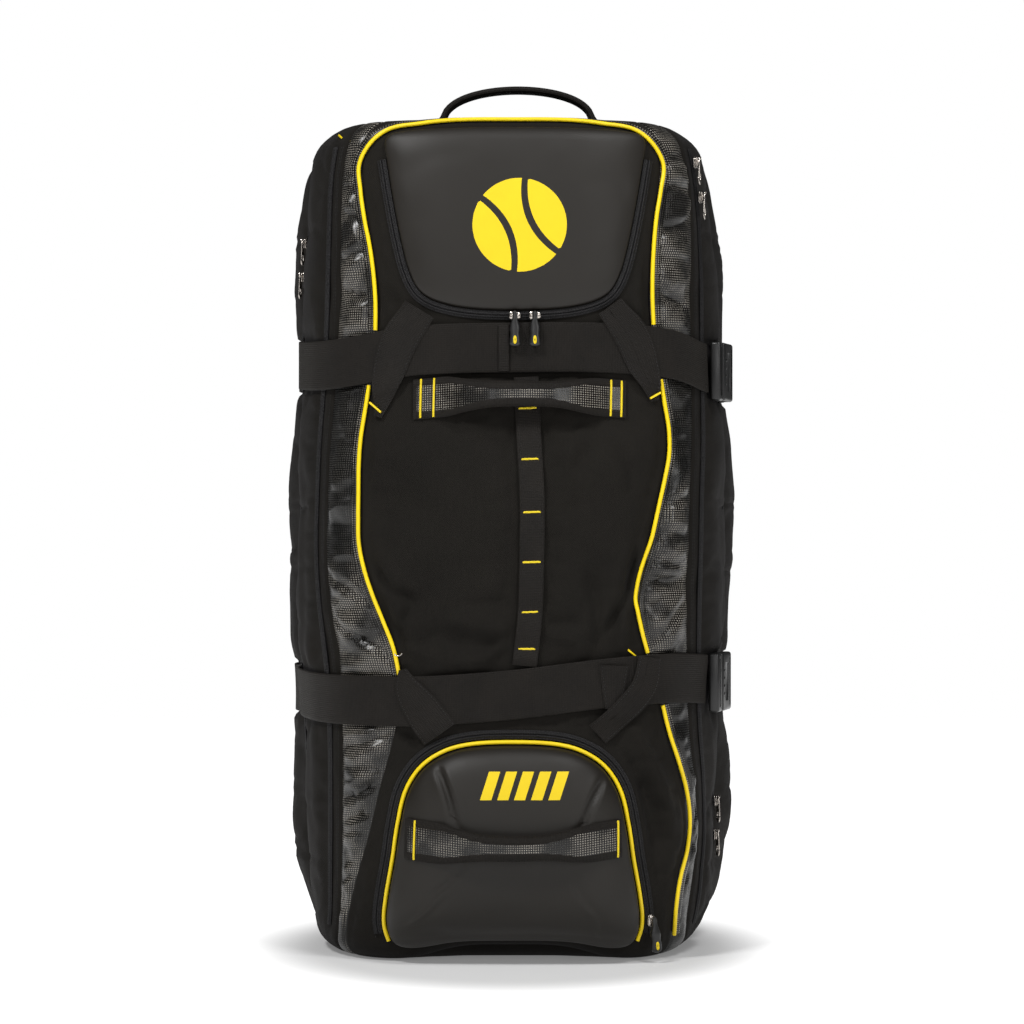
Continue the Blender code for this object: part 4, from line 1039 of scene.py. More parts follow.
def dotted_mesh(name, ground, dot, pitch, painted_shade=None):
    """Embossed coated cloth with a mesh look: small pale raised squares in rows on a glossy
    black ground, so its puckers flash in the light. The dots are paler in some soft patches and
    darker in others, as painted light and shade. The last argument gives painted shade, where
    the dots are darkened to the black ground."""
    gloss = {"Roughness": 0.30, "Specular IOR Level": 0.32}
    coat = {"Coat Weight": 0.08, "Coat Roughness": 0.28}
    material, add, shader = start_material(name, {**gloss, **coat})
    away = []
    for place in threads(add, pitch):
        off = add("Math", (add("Math", (place,), operation="FRACT"), 0.5), operation="SUBTRACT")
        away.append(add("Math", (off,), operation="ABSOLUTE"))
    away = add("Math", away, operation="MAXIMUM")
    inside = add("MapRange", (away, 0.30, 0.20), interpolation_type="SMOOTHSTEP")
    # Painted light and shade: the dots are much paler in some soft patches and darker in others, as if
    # puckers faced the light or turned from it.
    painted_light_patches = add("MapRange", (patches(add, 26.0, 4.0), 0.38, 0.60), interpolation_type="SMOOTHSTEP")
    shown = inside
    # Painted shade: where given, the dots are darkened towards the black ground.
    if painted_shade:
        kept = add("Math", (1.0, painted_shade(add)), operation="SUBTRACT")
        shown = add("Math", (inside, kept), operation="MULTIPLY")
    look = {0: shown, 6: ground, 7: tones(add, painted_light_patches, dot, 0.16, 1.30)}
    wire(shader, {
        "Base Color": add("Mix", look, 2, data_type="RGBA"),
        "Roughness": add("Math", (inside, 0.12, 0.27), operation="MULTIPLY_ADD"),
        "Normal": add("Bump", {"Height": inside, "Strength": 0.55, "Distance": 0.0005}),
    })
    return material


def painted_gusset_shade(add):
    """Painted shade on a gusset's dots, darkening them to black where the gusset turns from the
    light: between the straps' middles, lower down on the left, and below the lower strap on the right."""
    x, _, z = add("SeparateXYZ", (add("TexCoord", out="Object"),)).node.outputs
    level = add("Math", (x, -0.25, z), operation="MULTIPLY_ADD")
    level = add("Math", (patches(add, 22.0), 0.05, level), operation="MULTIPLY_ADD")
    edges = ((level, 0.440, 0.480), (z, 0.605, 0.600), (x, 0.0, 0.01), (z, 0.285, 0.270))
    smooth = {"interpolation_type": "SMOOTHSTEP"}
    above, below, right, low = (add("MapRange", edge, **smooth) for edge in edges)
    band = add("Math", (above, below), operation="MULTIPLY")
    foot = add("Math", (right, low), operation="MULTIPLY")
    either = add("Math", (band, foot), operation="MAXIMUM")
    return add("Math", (either, 0.85), operation="MULTIPLY")


def ribbed_webbing(name, colour, pitch):
    """Polypropylene webbing, woven with ribs across it: dark brown-black, satin, with fine
    lines along the warp. The ribs are drawn a little coarse so that they show."""
    material, add, shader = start_material(name, {"Roughness": 0.66, "Specular IOR Level": 0.16})
    x, y = threads(add, pitch)
    ribs, warp = ridges(add, y, 1.0), ridges(add, x, 0.8)
    share = add("Math", (ribs, 0.20, patches(add, 30.0, 4.0)), operation="MULTIPLY_ADD")
    share = add("Math", (warp, 0.14, share), operation="MULTIPLY_ADD")
    share = add("Math", (share, 0.12), operation="SUBTRACT", use_clamp=True)
    height = add("Math", (warp, 0.5, ribs), operation="MULTIPLY_ADD")
    height = add("Math", (height, patches(add, 420.0, 2.0)), operation="ADD")
    wire(shader, {
        "Base Color": tones(add, share, colour, 0.62, 1.75),
        "Sheen Weight": 0.03,
        "Sheen Tint": (0.80, 0.76, 0.70, 1.0),
        "Normal": add("Bump", {"Height": height, "Strength": 0.45, "Distance": 0.0004}),
    })
    return material


def piping_cover(name, colour):
    """Coated piping over a cord: bright yellow, smooth and slightly shiny, with a little soil."""
    material, add, shader = start_material(name, {"Roughness": 0.42, "Specular IOR Level": 0.4})
    grain = patches(add, 500.0, 2.0)
    wire(shader, {
        "Base Color": tones(add, patches(add, 60.0, 4.0), colour, 0.86, 1.05),
        "Normal": add("Bump", {"Height": grain, "Strength": 0.12, "Distance": 0.0003}),
    })
    return material


def sewing_thread(name, colour):
    """Bonded polyester thread, twisted: a soft shine with a fine slanting twist."""
    material, add, shader = start_material(name, {"Roughness": 0.55, "Specular IOR Level": 0.4})
    look = {"Vector": add("TexCoord", out="Object"), "Scale": 700.0, "Distortion": 1.0}
    twist = add("TexWave", look, "Fac", bands_direction="DIAGONAL")
    wire(shader, {
        "Base Color": tones(add, twist, colour, 0.78, 1.06),
        "Normal": add("Bump", {"Height": twist, "Strength": 0.4, "Distance": 0.0003}),
    })
    return material


def screen_print(name, colour):
    """Screen printed ink on the coated cloth: flat and bright, with the cloth's grain just
    showing through."""
    material, add, shader = start_material(name, {"Roughness": 0.52, "Specular IOR Level": 0.35})
    grain = patches(add, 900.0)
    wire(shader, {
        "Base Color": tones(add, patches(add, 40.0, 5.0), colour, 0.90, 1.04),
        "Normal": add("Bump", {"Height": grain, "Strength": 0.10, "Distance": 0.0003}),
    })
    return material


def zip_coil(name, colour, pitch):
    """Reversed nylon coil zip on woven tape: black, its ridges crossed by the coil's turns."""
    material, add, shader = start_material(name, {"Roughness": 0.58, "Specular IOR Level": 0.25})
    coil = ridges(add, threads(add, pitch)[1], 1.0)
    cloud = patches(add, 80.0)
    share = add("Math", (coil, 0.25, cloud), operation="MULTIPLY_ADD", use_clamp=True)
    wire(shader, {
        "Base Color": tones(add, share, colour, 0.6, 1.9),
        "Normal": add("Bump", {"Height": coil, "Strength": 0.5, "Distance": 0.0004}),
    })
    return material


def plated_zinc(name, colour):
    """Nickel plated zinc, die cast and tumbled: a warm silver mirror, dulled in patches."""
    material, add, shader = start_material(name, {"Roughness": 0.26, "Metallic": 1.0})
    worn = patches(add, 180.0, 4.0)
    wire(shader, {
        "Base Color": tones(add, worn, colour, 0.70, 1.20),
        "Roughness": add("Math", (worn, 0.25, 0.14), operation="MULTIPLY_ADD"),
        "Normal": add("Bump", {"Height": worn, "Strength": 0.08, "Distance": 0.0003}),
    })
    return material


def moulded_acetal(name, colour):
    """Acetal, injection moulded: black with a soft sheen and a fine spark-eroded texture."""
    material, add, shader = start_material(name, {"Roughness": 0.34, "IOR": 1.48})
    spark, cloud = patches(add, 1400.0, 2.0), patches(add, 45.0)
    wire(shader, {
        "Base Color": tones(add, cloud, colour, 0.8, 1.5),
        "Roughness": add("Math", (cloud, 0.18, 0.26), operation="MULTIPLY_ADD"),
        "Normal": add("Bump", {"Height": spark, "Strength": 0.10, "Distance": 0.0002}),
    })
    return material


def painted_floor(name, colour):
    """A pale painted board, matt, with a trace of roller texture, which glows though it is no
    lamp: least round the bag's base, as a painted contact shadow, and more away from it.
    """
    material, add, shader = start_material(name, {
        "Roughness": 0.85, "Specular IOR Level": 0.1, "Emission Color": (1.0, 1.0, 1.0, 1.0),
    })
    around_base = add("VectorMath", (
        add("TexCoord", out="Object"), (GLOW_ACROSS, 1.0, 0.0), (0.0, GLOW_BACK, 0.0),
    ), operation="MULTIPLY_ADD")
    away = add("VectorMath", (around_base,), "Value", operation="LENGTH")
    # Painted contact shadow: the floor's glow is least near the bag's base and grows away from it.
    near = add("MapRange", (away, GLOW_NEAR, GLOW_FAR), interpolation_type="SMOOTHSTEP")
    least, rise = FLOOR_GLOW / 6, FLOOR_GLOW * 5 / 6
    wire(shader, {
        "Base Color": tones(add, patches(add, 60.0), colour, 0.99, 1.0),
        "Emission Strength": add("Math", (near, rise, least), operation="MULTIPLY_ADD"),
    })
    return material


def finishes(kit):
    """Every material of the bag, made once."""
    if not FINISHES_MADE:
        FINISHES_MADE.update({
            "polyester": woven_polyester("woven_polyester", kit.polyester, kit.weave_pitch),
            "coated": coated_cloth("coated_cloth", kit.coated),
            "mesh": dotted_mesh("dotted_mesh", linear(MESH_GROUND_HEX), kit.mesh_dot, kit.dot_pitch),
            # The gussets' dots carry painted shade where the gussets turn from the light.
            "gusset": dotted_mesh(
                "dotted_gusset", linear(MESH_GROUND_HEX), kit.mesh_dot, kit.dot_pitch, painted_gusset_shade
            ),
            "webbing": ribbed_webbing("ribbed_webbing", kit.webbing, kit.rib_pitch),
            "piping": piping_cover("yellow_piping", kit.piping),
            "thread": sewing_thread("yellow_thread", kit.thread),
            "black_thread": sewing_thread("black_thread", linear(BLACK_THREAD_HEX)),
            "print": screen_print("yellow_print", kit.print_ink),
            "zip": zip_coil("zip_coil", linear(ZIP_HEX), kit.coil_pitch),
            "nickel": plated_zinc("nickel_plated_zinc", linear(NICKEL_HEX)),
            "plastic": moulded_acetal("black_acetal", linear(PLASTIC_HEX)),
        })
    return FINISHES_MADE


FINISHES_MADE = {}


def mm(value):
    return np.asarray(value, float) / 1000


def creases_of(table, x, z):
    """Relief of a table of creases at (x, z), inward below 0."""
    relief = 0 * x
    for x0, z0, x1, z1, bow, wide, deep in table:
        run = mm([x1 - x0, z1 - z0])
        length = np.linalg.norm(run)
        run = run / length
        dx, dz = x - mm(x0), z - mm(z0)
        along = (dx * run[0] + dz * run[1]) / length
        aside = dz * run[0] - dx * run[1] - mm(bow) * np.sin(math.pi * np.clip(along, 0, 1))
        fade = smooth_step((along + 0.15) / 0.36) * smooth_step((1.15 - along) / 0.36)
        shape = bell(aside, mm(0.72 * wide)) - 0.42 * bell(aside, mm(2.0 * wide))
        relief = relief - mm(deep) * fade * shape
    return relief


def pucker_relief(table, across, z):
    """Depth of the puckers of a gusset. across is metres from its middle."""
    relief = 0 * z
    for level, lean, wide, deep in table:
        off = z - mm(level) - lean * across - 0.12 * across * np.sin(across * 90 + level)
        shape = bell(off, mm(wide * 0.62)) - 0.55 * bell(off, mm(wide * 1.7))
        relief = relief - PUCKER_DEPTH * mm(deep) * shape
    return relief


def nearness(x, z, line, reach):
    """1 on a line of (x, z) points, falling to 0 at this distance from it."""
    least = np.full(np.shape(x), 1e9)
    for place in np.asarray(line, float):
        least = np.minimum(least, np.hypot(x - place[0], z - place[1]))
    return 1 - smooth_step((least - reach / 2) / (reach / 2))


def middle_of(outline):
    """The middle of a pad's outline: its mean across, and halfway up."""
    return np.array([outline[:, 0].mean(), (outline[:, 1].min() + outline[:, 1].max()) / 2])


def inside_outline(x, z, outline, grow=0.0):
    """1 within an outline of (x, z) grown by this much, 0 well outside it."""
    return 1 - smooth_step((pad_share(outline, x, z) - 1 - grow) / 0.05)


def pad_share(outline, x, z):
    """How far from a pad's middle (x, z) lies, as a share of its outline on that bearing."""
    away = outline - middle_of(outline)
    dx, dz = x - middle_of(outline)[0], z - middle_of(outline)[1]
    bearing = np.arctan2(away[:, 1], away[:, 0])
    order = np.argsort(bearing)
    reach = np.linalg.norm(away, axis=1)[order]
    rim = np.interp(np.arctan2(dz, dx), bearing[order], reach, period=2 * math.pi)
    return np.hypot(dx, dz) / rim


def strap_cover(t, z):
    """1 under either compression strap, 0 clear of both."""
    cover = 0 * z
    for line, height in STRAPS.values():
        away = np.abs(z - strap_z(line, height, t)) - WEBBING / 2
        cover = np.maximum(cover, 1 - smooth_step((away - 0.001) / 0.007))
    return cover


def zip_cover(t, z):
    """1 under a side or rear zip, 0 clear of them."""
    cover = 0 * z
    up = np.linspace(0.0, HEIGHT, 60)
    for name in SIDE_ZIPS:
        away = np.abs(t - np.interp(z, up, zip_station(name, up))) * METRES_A_STATION - ZIP_WIDTH / 2
        cover = np.maximum(cover, 1 - smooth_step((away - 0.001) / 0.008))
    return cover


def front_cover(x, z):
    """1 under what lies on the front: the lid's and pocket's trim, braces and webbing."""
    cover = inside_outline(x, z, lid_outline(72), 0.14) * (z > LID_TOP_Z - LID_HEIGHT - 0.03)
    cover = np.maximum(cover, inside_outline(x, z, pocket_outline(72), 0.17))
    for path, *_ in BRACE_PATHS.values():
        cover = np.maximum(cover, nearness(x, z, path[:, :2], 0.7 * float(path[:, 2].max())))
    chain = (np.abs(x - 0.67 * CHAIN_WIDTH) < 0.8 * CHAIN_WIDTH) & (z > STRAP_LOWER_Z)
    cover = np.maximum(cover, chain & (z < STRAP_UPPER_Z))
    for side in (-1, 1):
        foot_x = GRIP_SHIFT + side * (GRIP_LENGTH / 2 - 0.018)
        cover = np.maximum(cover, (np.abs(x - foot_x) < 0.030) & (np.abs(z - GRIP_Z) < 0.030))
    return cover


def brace_paths():
    """Each brace's path of x, z and width, its strap's line and height, and its lifts."""
    low = LAY_GAP + ZIP_THICK
    pad_top = POCKET_BASE_Z + POCKET_HEIGHT + POCKET_ZIP_MARGIN
    ends = {
        "upper": (LID_TOP_Z - LID_HEIGHT, STRAP_UPPER_Z - 1.33 * WEBBING),
        "lower": (STRAP_LOWER_Z + 0.47 * WEBBING, pad_top),
    }
    for name, rows in BRACES.items():
        level = "upper" if "upper" in name else "lower"
        top, foot = ends[level]
        high = STRAP_LIFT + WEBBING_THICK + LAY_GAP - low
        if name == "brace_lower_right":
            high += BRACE_THICK + LAY_GAP + SEAM_GAP
        corners = [
            (x * WIDTH / 2, top + (foot - top) * down, wide * WEBBING) for x, down, wide in rows
        ]
        BRACE_PATHS[name] = (path_points(corners, TAPE_STEP), *STRAPS[level], low, high)


BRACE_PATHS = {}


def over_strap(x, z, line, height):
    """1 where a brace at (x, z) lies over its strap, falling to 0 beside it."""
    away = np.abs(z - strap_z(line, height, station_of(x, z))) - WEBBING / 2
    return smooth_step(1 - (away - 3 * (BRACE_THICK + LAY_GAP)) / (WEBBING / 4))


def body_heights():
    """Heights of the body's rows, close together on its rounded edges."""
    count = int((HEIGHT - TOP_ROUND - BASE_ROUND) / ROW_SPACING)
    straight = np.linspace(BASE_ROUND, HEIGHT - TOP_ROUND, count)
    bend = np.linspace(0, math.pi / 2, 8)[1:]
    low = BASE_ROUND * (1 - np.sin(bend))[::-1]
    high = HEIGHT - TOP_ROUND * (1 - np.sin(bend))
    return np.concatenate([low, straight, high])


def panel_grid(left, right, middles, z):
    """Stations of a panel's columns: close together by both seams, even between them."""
    across = np.linalg.norm(wall(right, z) - wall(left, z), axis=1)
    tight = np.minimum(1.0, across / 0.030)
    span = np.maximum(across, 0.004)
    steps = np.array(EDGE_STEPS)[None, :] * (tight / span)[:, None]
    inner = np.linspace(0, 1, middles + 2)[None, 1:-1]
    start = steps[:, -1:]
    share = np.concatenate([steps, start + (1 - 2 * start) * inner, 1 - steps[:, ::-1]], 1)
    return left[:, None] + (right - left)[:, None] * share


def body_layout():
    """The stations of every body panel's grid, in order round the bag, with their heights."""
    z = body_heights()
    edges = body_edges(z)
    layout = {}
    for name, left, right, cloth in BODY_PANELS:
        t = panel_grid(edges[left], edges[right], PANEL_MIDDLES[name], z)
        layout[name] = (t, np.repeat(z[:, None], t.shape[1], 1), cloth)
    return layout


def wall_normals(points):
    """Outward normals of a grid of points with columns to the right and rows going up."""
    across = np.gradient(points, axis=1)
    up = np.gradient(points, axis=0)
    normal = np.cross(across, up)
    return normal / np.maximum(np.linalg.norm(normal, axis=2), 1e-9)[..., None]


def run_across(points):
    """Distance along each row of a grid of points, from 0 at its first column."""
    steps = np.linalg.norm(np.diff(points, axis=1), axis=2)
    return np.cumsum(np.pad(steps, ((0, 0), (1, 0))), axis=1)


def panel_relief(name, t, z, points):
    """How far a panel's cloth stands off its smooth surface, outward above 0."""
    across = run_across(points)
    wide = across[:, -1:]
    near = np.minimum(across, wide - across)
    middle = across - wide / 2
    x = points[..., 0]
    seed = 11 + list(PANEL_MIDDLES).index(name)
    relief = 0.0009 * swells(middle, z, 0.055, seed) + 0.0005 * swells(middle, z, 0.021, seed + 40)
    cover = 0 * z
    if name == "front_panel":
        relief += FRONT_FOLDS * creases_of(CREASES, x, z)
        relief += 0.0011 * swells(x + 0.5 * z, 0.45 * (z - 0.5 * x), 0.024, 71)
        relief += 0.0009 * swells(x - 0.6 * z, 0.40 * (z + 0.6 * x), 0.019, 73)
        relief -= 0.0012 * bell(near - 0.009, 0.004)
        cover = front_cover(x, z)
    elif name.startswith("mesh"):
        relief += pucker_relief(PUCKERS[name], middle, z)
        relief += 0.0026 * swells(middle * 0.5, z, 0.031, seed + 3)
        relief += 0.0010 * swells(middle * 0.8, z, 0.013, seed + 4)
        relief += 0.0022 * np.sin(math.pi * across / wide) * (wide > 0.02)
    elif name.startswith("side"):
        relief += 0.0016 * swells(across * 1.3, z * 0.30, 0.026, seed + 5)
        relief += 0.0010 * swells(across - 0.5 * z, z + across, 0.031, seed + 6)
        cover = zip_cover(t, z)
    elif name.startswith("rear"):
        relief += 0.0020 * swells(across * 0.5, z, 0.040, seed + 8)
        relief += 0.0016 * swells(across * 1.2, z * 0.35, 0.028, seed + 9)
        cover = zip_cover(t, z)
    else:
        relief += 0.0016 * swells(across, z, 0.085, seed + 10)
    relief *= smooth_step(near / np.minimum(0.014, 0.4 * wide)) * (1 - cover)
    relief *= smooth_step(z / 0.035) * smooth_step((HEIGHT - z) / 0.035)
    relief *= 1 - np.where(relief > 0, 1.0, 0.6) * strap_cover(t, z)
    return relief - SEAM_DEPTH * (bell(across, SEAM_WIDE) + bell(wide - across, SEAM_WIDE))


def free_cloth(name, t, z, points):
    """Share of the cloth's own billow that a place may take: 0 under what lies on it."""
    across = run_across(points)
    near = np.minimum(across, across[:, -1:] - across)
    free = smooth_step((near - 0.003) / np.minimum(0.016, 0.4 * across[:, -1:]))
    free = free * smooth_step(z / 0.05) * smooth_step((HEIGHT - z) / 0.05)
    free = free * (1 - strap_cover(t, z)) * (1 - zip_cover(t, z))
    if name == "front_panel":
        free = free * (1 - front_cover(points[..., 0], z))
    return free


def billow(layout, kit):
    """Runs the body as cloth under a little air pressure, held at its seams, straps and
    zips, and returns how far each panel's points moved."""
    grids = {name: wall(t, z, 0.0, folded=True) for name, (t, z, _) in layout.items()}
    held = [free_cloth(name, *layout[name][:2], grid) < 0.02 for name, grid in grids.items()]
    points = np.concatenate([grid[:, :-1] for grid in grids.values()], 1)
    pinned = np.concatenate([grid[:, :-1] for grid in held], 1)
    pinned[0], pinned[-1] = True, True
    rows, count = points.shape[:2]
    mesh = bpy.data.meshes.new("billow")
    mesh.from_pydata(points.reshape(-1, 3).tolist(), [], grid_faces(rows, count, closed=True))
    cloth = show("billow", mesh)
    group = cloth.vertex_groups.new(name="held")
    group.add(np.nonzero(pinned.ravel())[0].tolist(), 1.0, "REPLACE")
    step = cloth.modifiers.new("cloth", "CLOTH")
    for key, value in CLOTH.items():
        setattr(step.settings, key, value)
    step.settings.uniform_pressure_force = kit.pressure
    step.settings.shrink_min = -kit.growth
    step.settings.shrink_max = -kit.growth
    step.settings.effector_weights.gravity = 0
    step.collision_settings.use_collision = False
    step.point_cache.frame_start = 1
    step.point_cache.frame_end = BILLOW_FRAMES
    for moment in range(1, BILLOW_FRAMES + 1):
        bpy.context.scene.frame_set(moment)
    shape = cloth.evaluated_get(bpy.context.evaluated_depsgraph_get()).data
    found = np.empty(len(shape.vertices) * 3)
    shape.vertices.foreach_get("co", found)
    moved = found.reshape(rows, count, 3) - points
    bpy.data.objects.remove(cloth)
    bpy.context.scene.frame_set(1)
    moved = np.concatenate([moved, moved[:, :1]], 1)
    moves, start = {}, 0
    for name, grid in grids.items():
        wide = grid.shape[1] - 1
        moves[name] = moved[:, start:start + wide + 1]
        start += wide
    return moves


def turned_panel(points, depth):
    """A panel's grid with one more ring all round, turned in as a seam allowance."""
    whole = np.pad(points, ((1, 1), (1, 1), (0, 0)), mode="edge")
    into = whole - np.pad(wall_normals(points), ((1, 1), (1, 1), (0, 0)), mode="edge") * depth
    whole[[0, -1]] = into[[0, -1]]
    whole[:, [0, -1]] = into[:, [0, -1]]
    return whole


def grown(grid):
    """A grid of values with its edge rows and columns repeated once."""
    return np.pad(grid, ((1, 1), (1, 1)), mode="edge")


def make_body(kit, made):
    """The sewn cloth of the front, gussets, sides, rear bands and back."""
    finish = {"polyester": "polyester", "mesh_cloth": "gusset"}
    layout = body_layout()
    moves = billow(layout, kit)
    rims = []
    for name, (t, z, cloth) in layout.items():
        smooth = wall(t, z, 0.0, folded=True)
        relief = panel_relief(name, t, z, smooth) * kit.fold_depth
        points = smooth + wall_normals(smooth) * relief[..., None]
        if moves:
            reach = np.maximum(np.linalg.norm(moves[name], axis=2), 1e-9)
            capped = BILLOW_CAP * np.tanh(reach / BILLOW_CAP) / reach
            points = points + moves[name] * (capped * free_cloth(name, t, z, smooth))[..., None]
        rims.append(points[[-1, 0], :-1])
        whole = turned_panel(points, TURNED_EDGE)
        across = run_across(smooth)
        uv = np.stack([grown(across - across[:, -1:] / 2), grown(z)], -1)
        faces = grid_faces(*whole.shape[:2])
        if name == "front_panel":
            faces = cut_lid_opening(faces, whole.reshape(-1, 3))
        add_piece(name + "_cloth", whole, faces, made[finish[cloth]], cloth, [name], uv, 80)
    top, base = np.concatenate(rims, 1)
    make_cap("top_panel", top, HEIGHT, TOP_CROWN, made["polyester"])
    make_cap("base_panel", base, 0.0, 0.0, made["polyester"])


def make_cap(name, rim, z, crown, material):
    """The top's or the base's cloth, sewn in at the rim that the walls turn in to."""
    middle = rim.mean(0)
    rings = []
    for share in (1.0, 0.985, 0.965, 0.93, 0.86, 0.76, 0.64, 0.5, 0.36, 0.22, 0.1):
        flat = middle[:2] + (rim[:, :2] - middle[:2]) * (share * 0.998)
        level = z + (rim[:, 2] - z) * share**12 + crown * (1 - share**2)
        if z:
            wave = 0.0012 * swells(flat[:, 0], flat[:, 1], 0.045, 90)
            level = level + wave * smooth_step((1 - share) / 0.2)
            level = level - 0.0008 * math.exp(-((1 - share) / 0.012) ** 2)
        rings.append(np.column_stack([flat, level]))
    points = np.concatenate(rings)
    faces = grid_faces(len(rings), len(rim), closed=True)
    faces.append(range(len(points) - len(rim), len(points)))
    faces = [tuple(face) for face in faces] if z else flipped(faces)
    add_piece(name + "_cloth", points, faces, material, "polyester", [name], points[:, :2], 80)


def cut_lid_opening(faces, points):
    """The front's faces without those in the opening that the lid covers."""
    quads = np.array(faces)
    middle = points[quads].mean(1)
    share = pad_share(lid_outline(72, -1.3 * LID_OVERLAP), middle[:, 0], middle[:, 2])
    return quads[share > 1].tolist()


# Creases of the lower pocket, in mm as those of the front.
POCKET_CREASES = (
    # x0, z0, x1, z1, bow, wide, deep
    (-73, 200, -55, 141, 2, 4.6, 6.5),
    (94, 194, 66, 133, -3, 4.8, 6.5),
    (-45, 112, -74, 74, 3, 5, 1.6),
    (-70, 72, -100, 38, 3, 4, -1.8),
    (58, 108, 80, 52, -4, 5, 1.5),
    (76, 62, 92, 8, -3, 4, -1.9),
    (-92, 30, -58, 22, 4, 12, 2.2),
    (-30, 30, 60, 26, 6, 18, -1.4),
)
LID_CREASES = (
    # x0, z0, x1, z1, bow, wide, deep
    (70, 782, 118, 776, 4, 16, 0.9),
    (-100, 800, -40, 812, 4, 14, 0.7),
    (60, 700, 110, 730, 5, 22, -0.6),
)
PAD_SHARES = (
    0.015, 0.05, 0.10, 0.15, 0.20, 0.25, 0.30, 0.35, 0.40, 0.44, 0.48, 0.52, 0.56, 0.60,
    0.635, 0.67, 0.70, 0.73, 0.76, 0.785, 0.81, 0.835, 0.86, 0.88, 0.90, 0.917, 0.933, 0.948,
    0.961, 0.972, 0.981, 0.989, 0.995, 1.0,
)
PRINT_LIFT = 0.00035
EMBLEM_X = 0.0075
EMBLEM_Z = 0.740
EMBLEM_RADIUS = 0.047
EMBLEM_TURN = 24.0
DASH_COUNT = 5
DASH_X = -0.032
DASH_Z = 0.167
DASH_TALL = 0.028
DASH_WIDE = 0.0112
DASH_PITCH = 0.0170
DASH_LEAN = 0.009

# Outer face of half a zip, from its middle: share of half its width, and height in mm.
ZIP_PROFILE = (
    # across, high
    (0.00, 0.70),
    (0.09, 1.40),
    (0.22, 1.95),
    (0.38, 1.95),
    (0.52, 1.40),
    (0.64, 0.80),
    (0.82, 0.85),
    (0.97, 0.75),
    (1.00, 0.30),
)

# Yellow bar tacks of the daisy chain: heights in mm.
CHAIN_TACKS = (557, 506, 453, 403, 353, 316)
TACK_LENGTH = 0.0195
TACK_TALL = 0.0026
TACK_THICK = 0.0009
TACK_LEAN = 2.0
CHAIN_LOOP_RISE = 0.0024

# Short yellow ends of piping seen by the seams: both ends and height off the cloth in mm.
YELLOW_ENDS = (
    # x0, z0, x1, z1, high
    (-141, 563, -130, 553, 5.4),
    (137, 567, 147, 573, 5.4),
    (116, 315, 124, 308, 1.2),
    (-178, 837, -174, 834, 1.2),
)

# Small bright wire hook at the foot of the middle left piping.
HOOK_X = -0.1125
HOOK_Z = 0.3130
HOOK_RADIUS = 0.0040

# Dotted inlay of the grips: share of the length, and share of the grip's half height.
INLAY_ROWS = (
    # along, wide
    (0.00, 0.60),
    (0.11, 0.62),
    (0.20, 0.66),
    (0.28, 0.52),
    (0.38, 0.38),
    (0.50, 0.34),
    (0.64, 0.38),
    (0.74, 0.52),
    (0.82, 0.66),
    (0.90, 0.60),
    (1.00, 0.60),
)
INLAY_SINK = 0.0009
FRONT_GRIP_SEAMS = (-0.0910, -0.0780, 0.0985, 0.1090)
POCKET_GRIP_SEAMS = (-0.0930, 0.1010)


def pad_lift(kind, x, z):
    """Lift of the lid's or the pocket's outside over the front at (x, z)."""
    outline, crown, creases, uneven = (
        (lid_outline, LID_CROWN, LID_CREASES, 0.0006) if kind == "lid"
        else (pocket_outline, POCKET_CROWN, POCKET_CREASES, 0.0009)
    )
    share = np.clip(pad_share(outline(144), x, z), 0, 1)
    relief = creases_of(creases, x, z) + uneven * swells(x, z, 0.060, 7)
    relief = relief + 0.0003 * swells(x, z, 0.022, 8)
    inner = smooth_step((1 - share) / 0.14)
    return LAY_GAP + WALL + crown * np.sqrt(1 - share**4) + inner * relief


def make_pad(kind, outline, material):
    """A domed, padded panel on the front, with its rim turned under."""
    count = len(outline)
    away = outline - middle_of(outline)
    place = [middle_of(outline) + away * share for share in PAD_SHARES]
    lift = [pad_lift(kind, *ring.T) for ring in place]
    away = away / np.linalg.norm(away, axis=1)[:, None]
    for grow, seat in ((0.0004, 0.8), (0.0005, 0.55), (0.0001, 0.32)):
        place.append(outline + away * grow)
        lift.append(np.full(count, seat * (LAY_GAP + WALL)))
    place = np.stack(place)
    points = front(place[..., 0], place[..., 1], np.stack(lift))
    faces = flipped(grid_faces(len(place), count, closed=True)) + [tuple(range(count))]
    made = add_piece(
        kind + "_pad", points, faces, material, "coated", [kind + "_panel"], place, 70
    )


def printed(name, kind, x, z, material):
    """A thin printed patch on a pad, from a grid of (x, z)."""
    whole = turned_panel(front(x, z, pad_lift(kind, x, z) + PRINT_LIFT), 2 * PRINT_LIFT)
    uv = np.stack([grown(x), grown(z)], -1)
    add_piece(name, whole, grid_faces(*whole.shape[:2]), material, "piping", (), uv)


def make_emblem(material):
    """A plain ball shape in three pieces, printed in the middle of the lid."""
    gap, bow, waist = 0.075, 0.34, 0.26

    def seam(v):
        return waist + bow * v * v

    for name, side in (("emblem_left", -1), ("emblem_middle", 0), ("emblem_right", 1)):
        if side:
            reach = 0.80
            while math.sqrt(1 - reach**2) < seam(reach) + gap:
                reach -= 0.005
            v = np.linspace(-reach, reach, 61)
            near, far = seam(v) + gap, np.sqrt(1 - v * v)
            low, high = (near, far) if side > 0 else (-far, -near)
        else:
            v = np.sin(np.linspace(-math.pi / 2, math.pi / 2, 61)) * 0.998
            low = -np.minimum(seam(v) - gap, np.sqrt(1 - v * v))
            high = -low
        across = low[:, None] + (high - low)[:, None] * np.linspace(0, 1, 21)[None, :]
        up = np.repeat(v[:, None], 21, 1)
        turn = math.radians(EMBLEM_TURN)
        x = EMBLEM_X + EMBLEM_RADIUS * (across * math.cos(turn) - up * math.sin(turn))
        z = EMBLEM_Z + EMBLEM_RADIUS * (across * math.sin(turn) + up * math.cos(turn))
        printed(name, "lid", x, z, material)


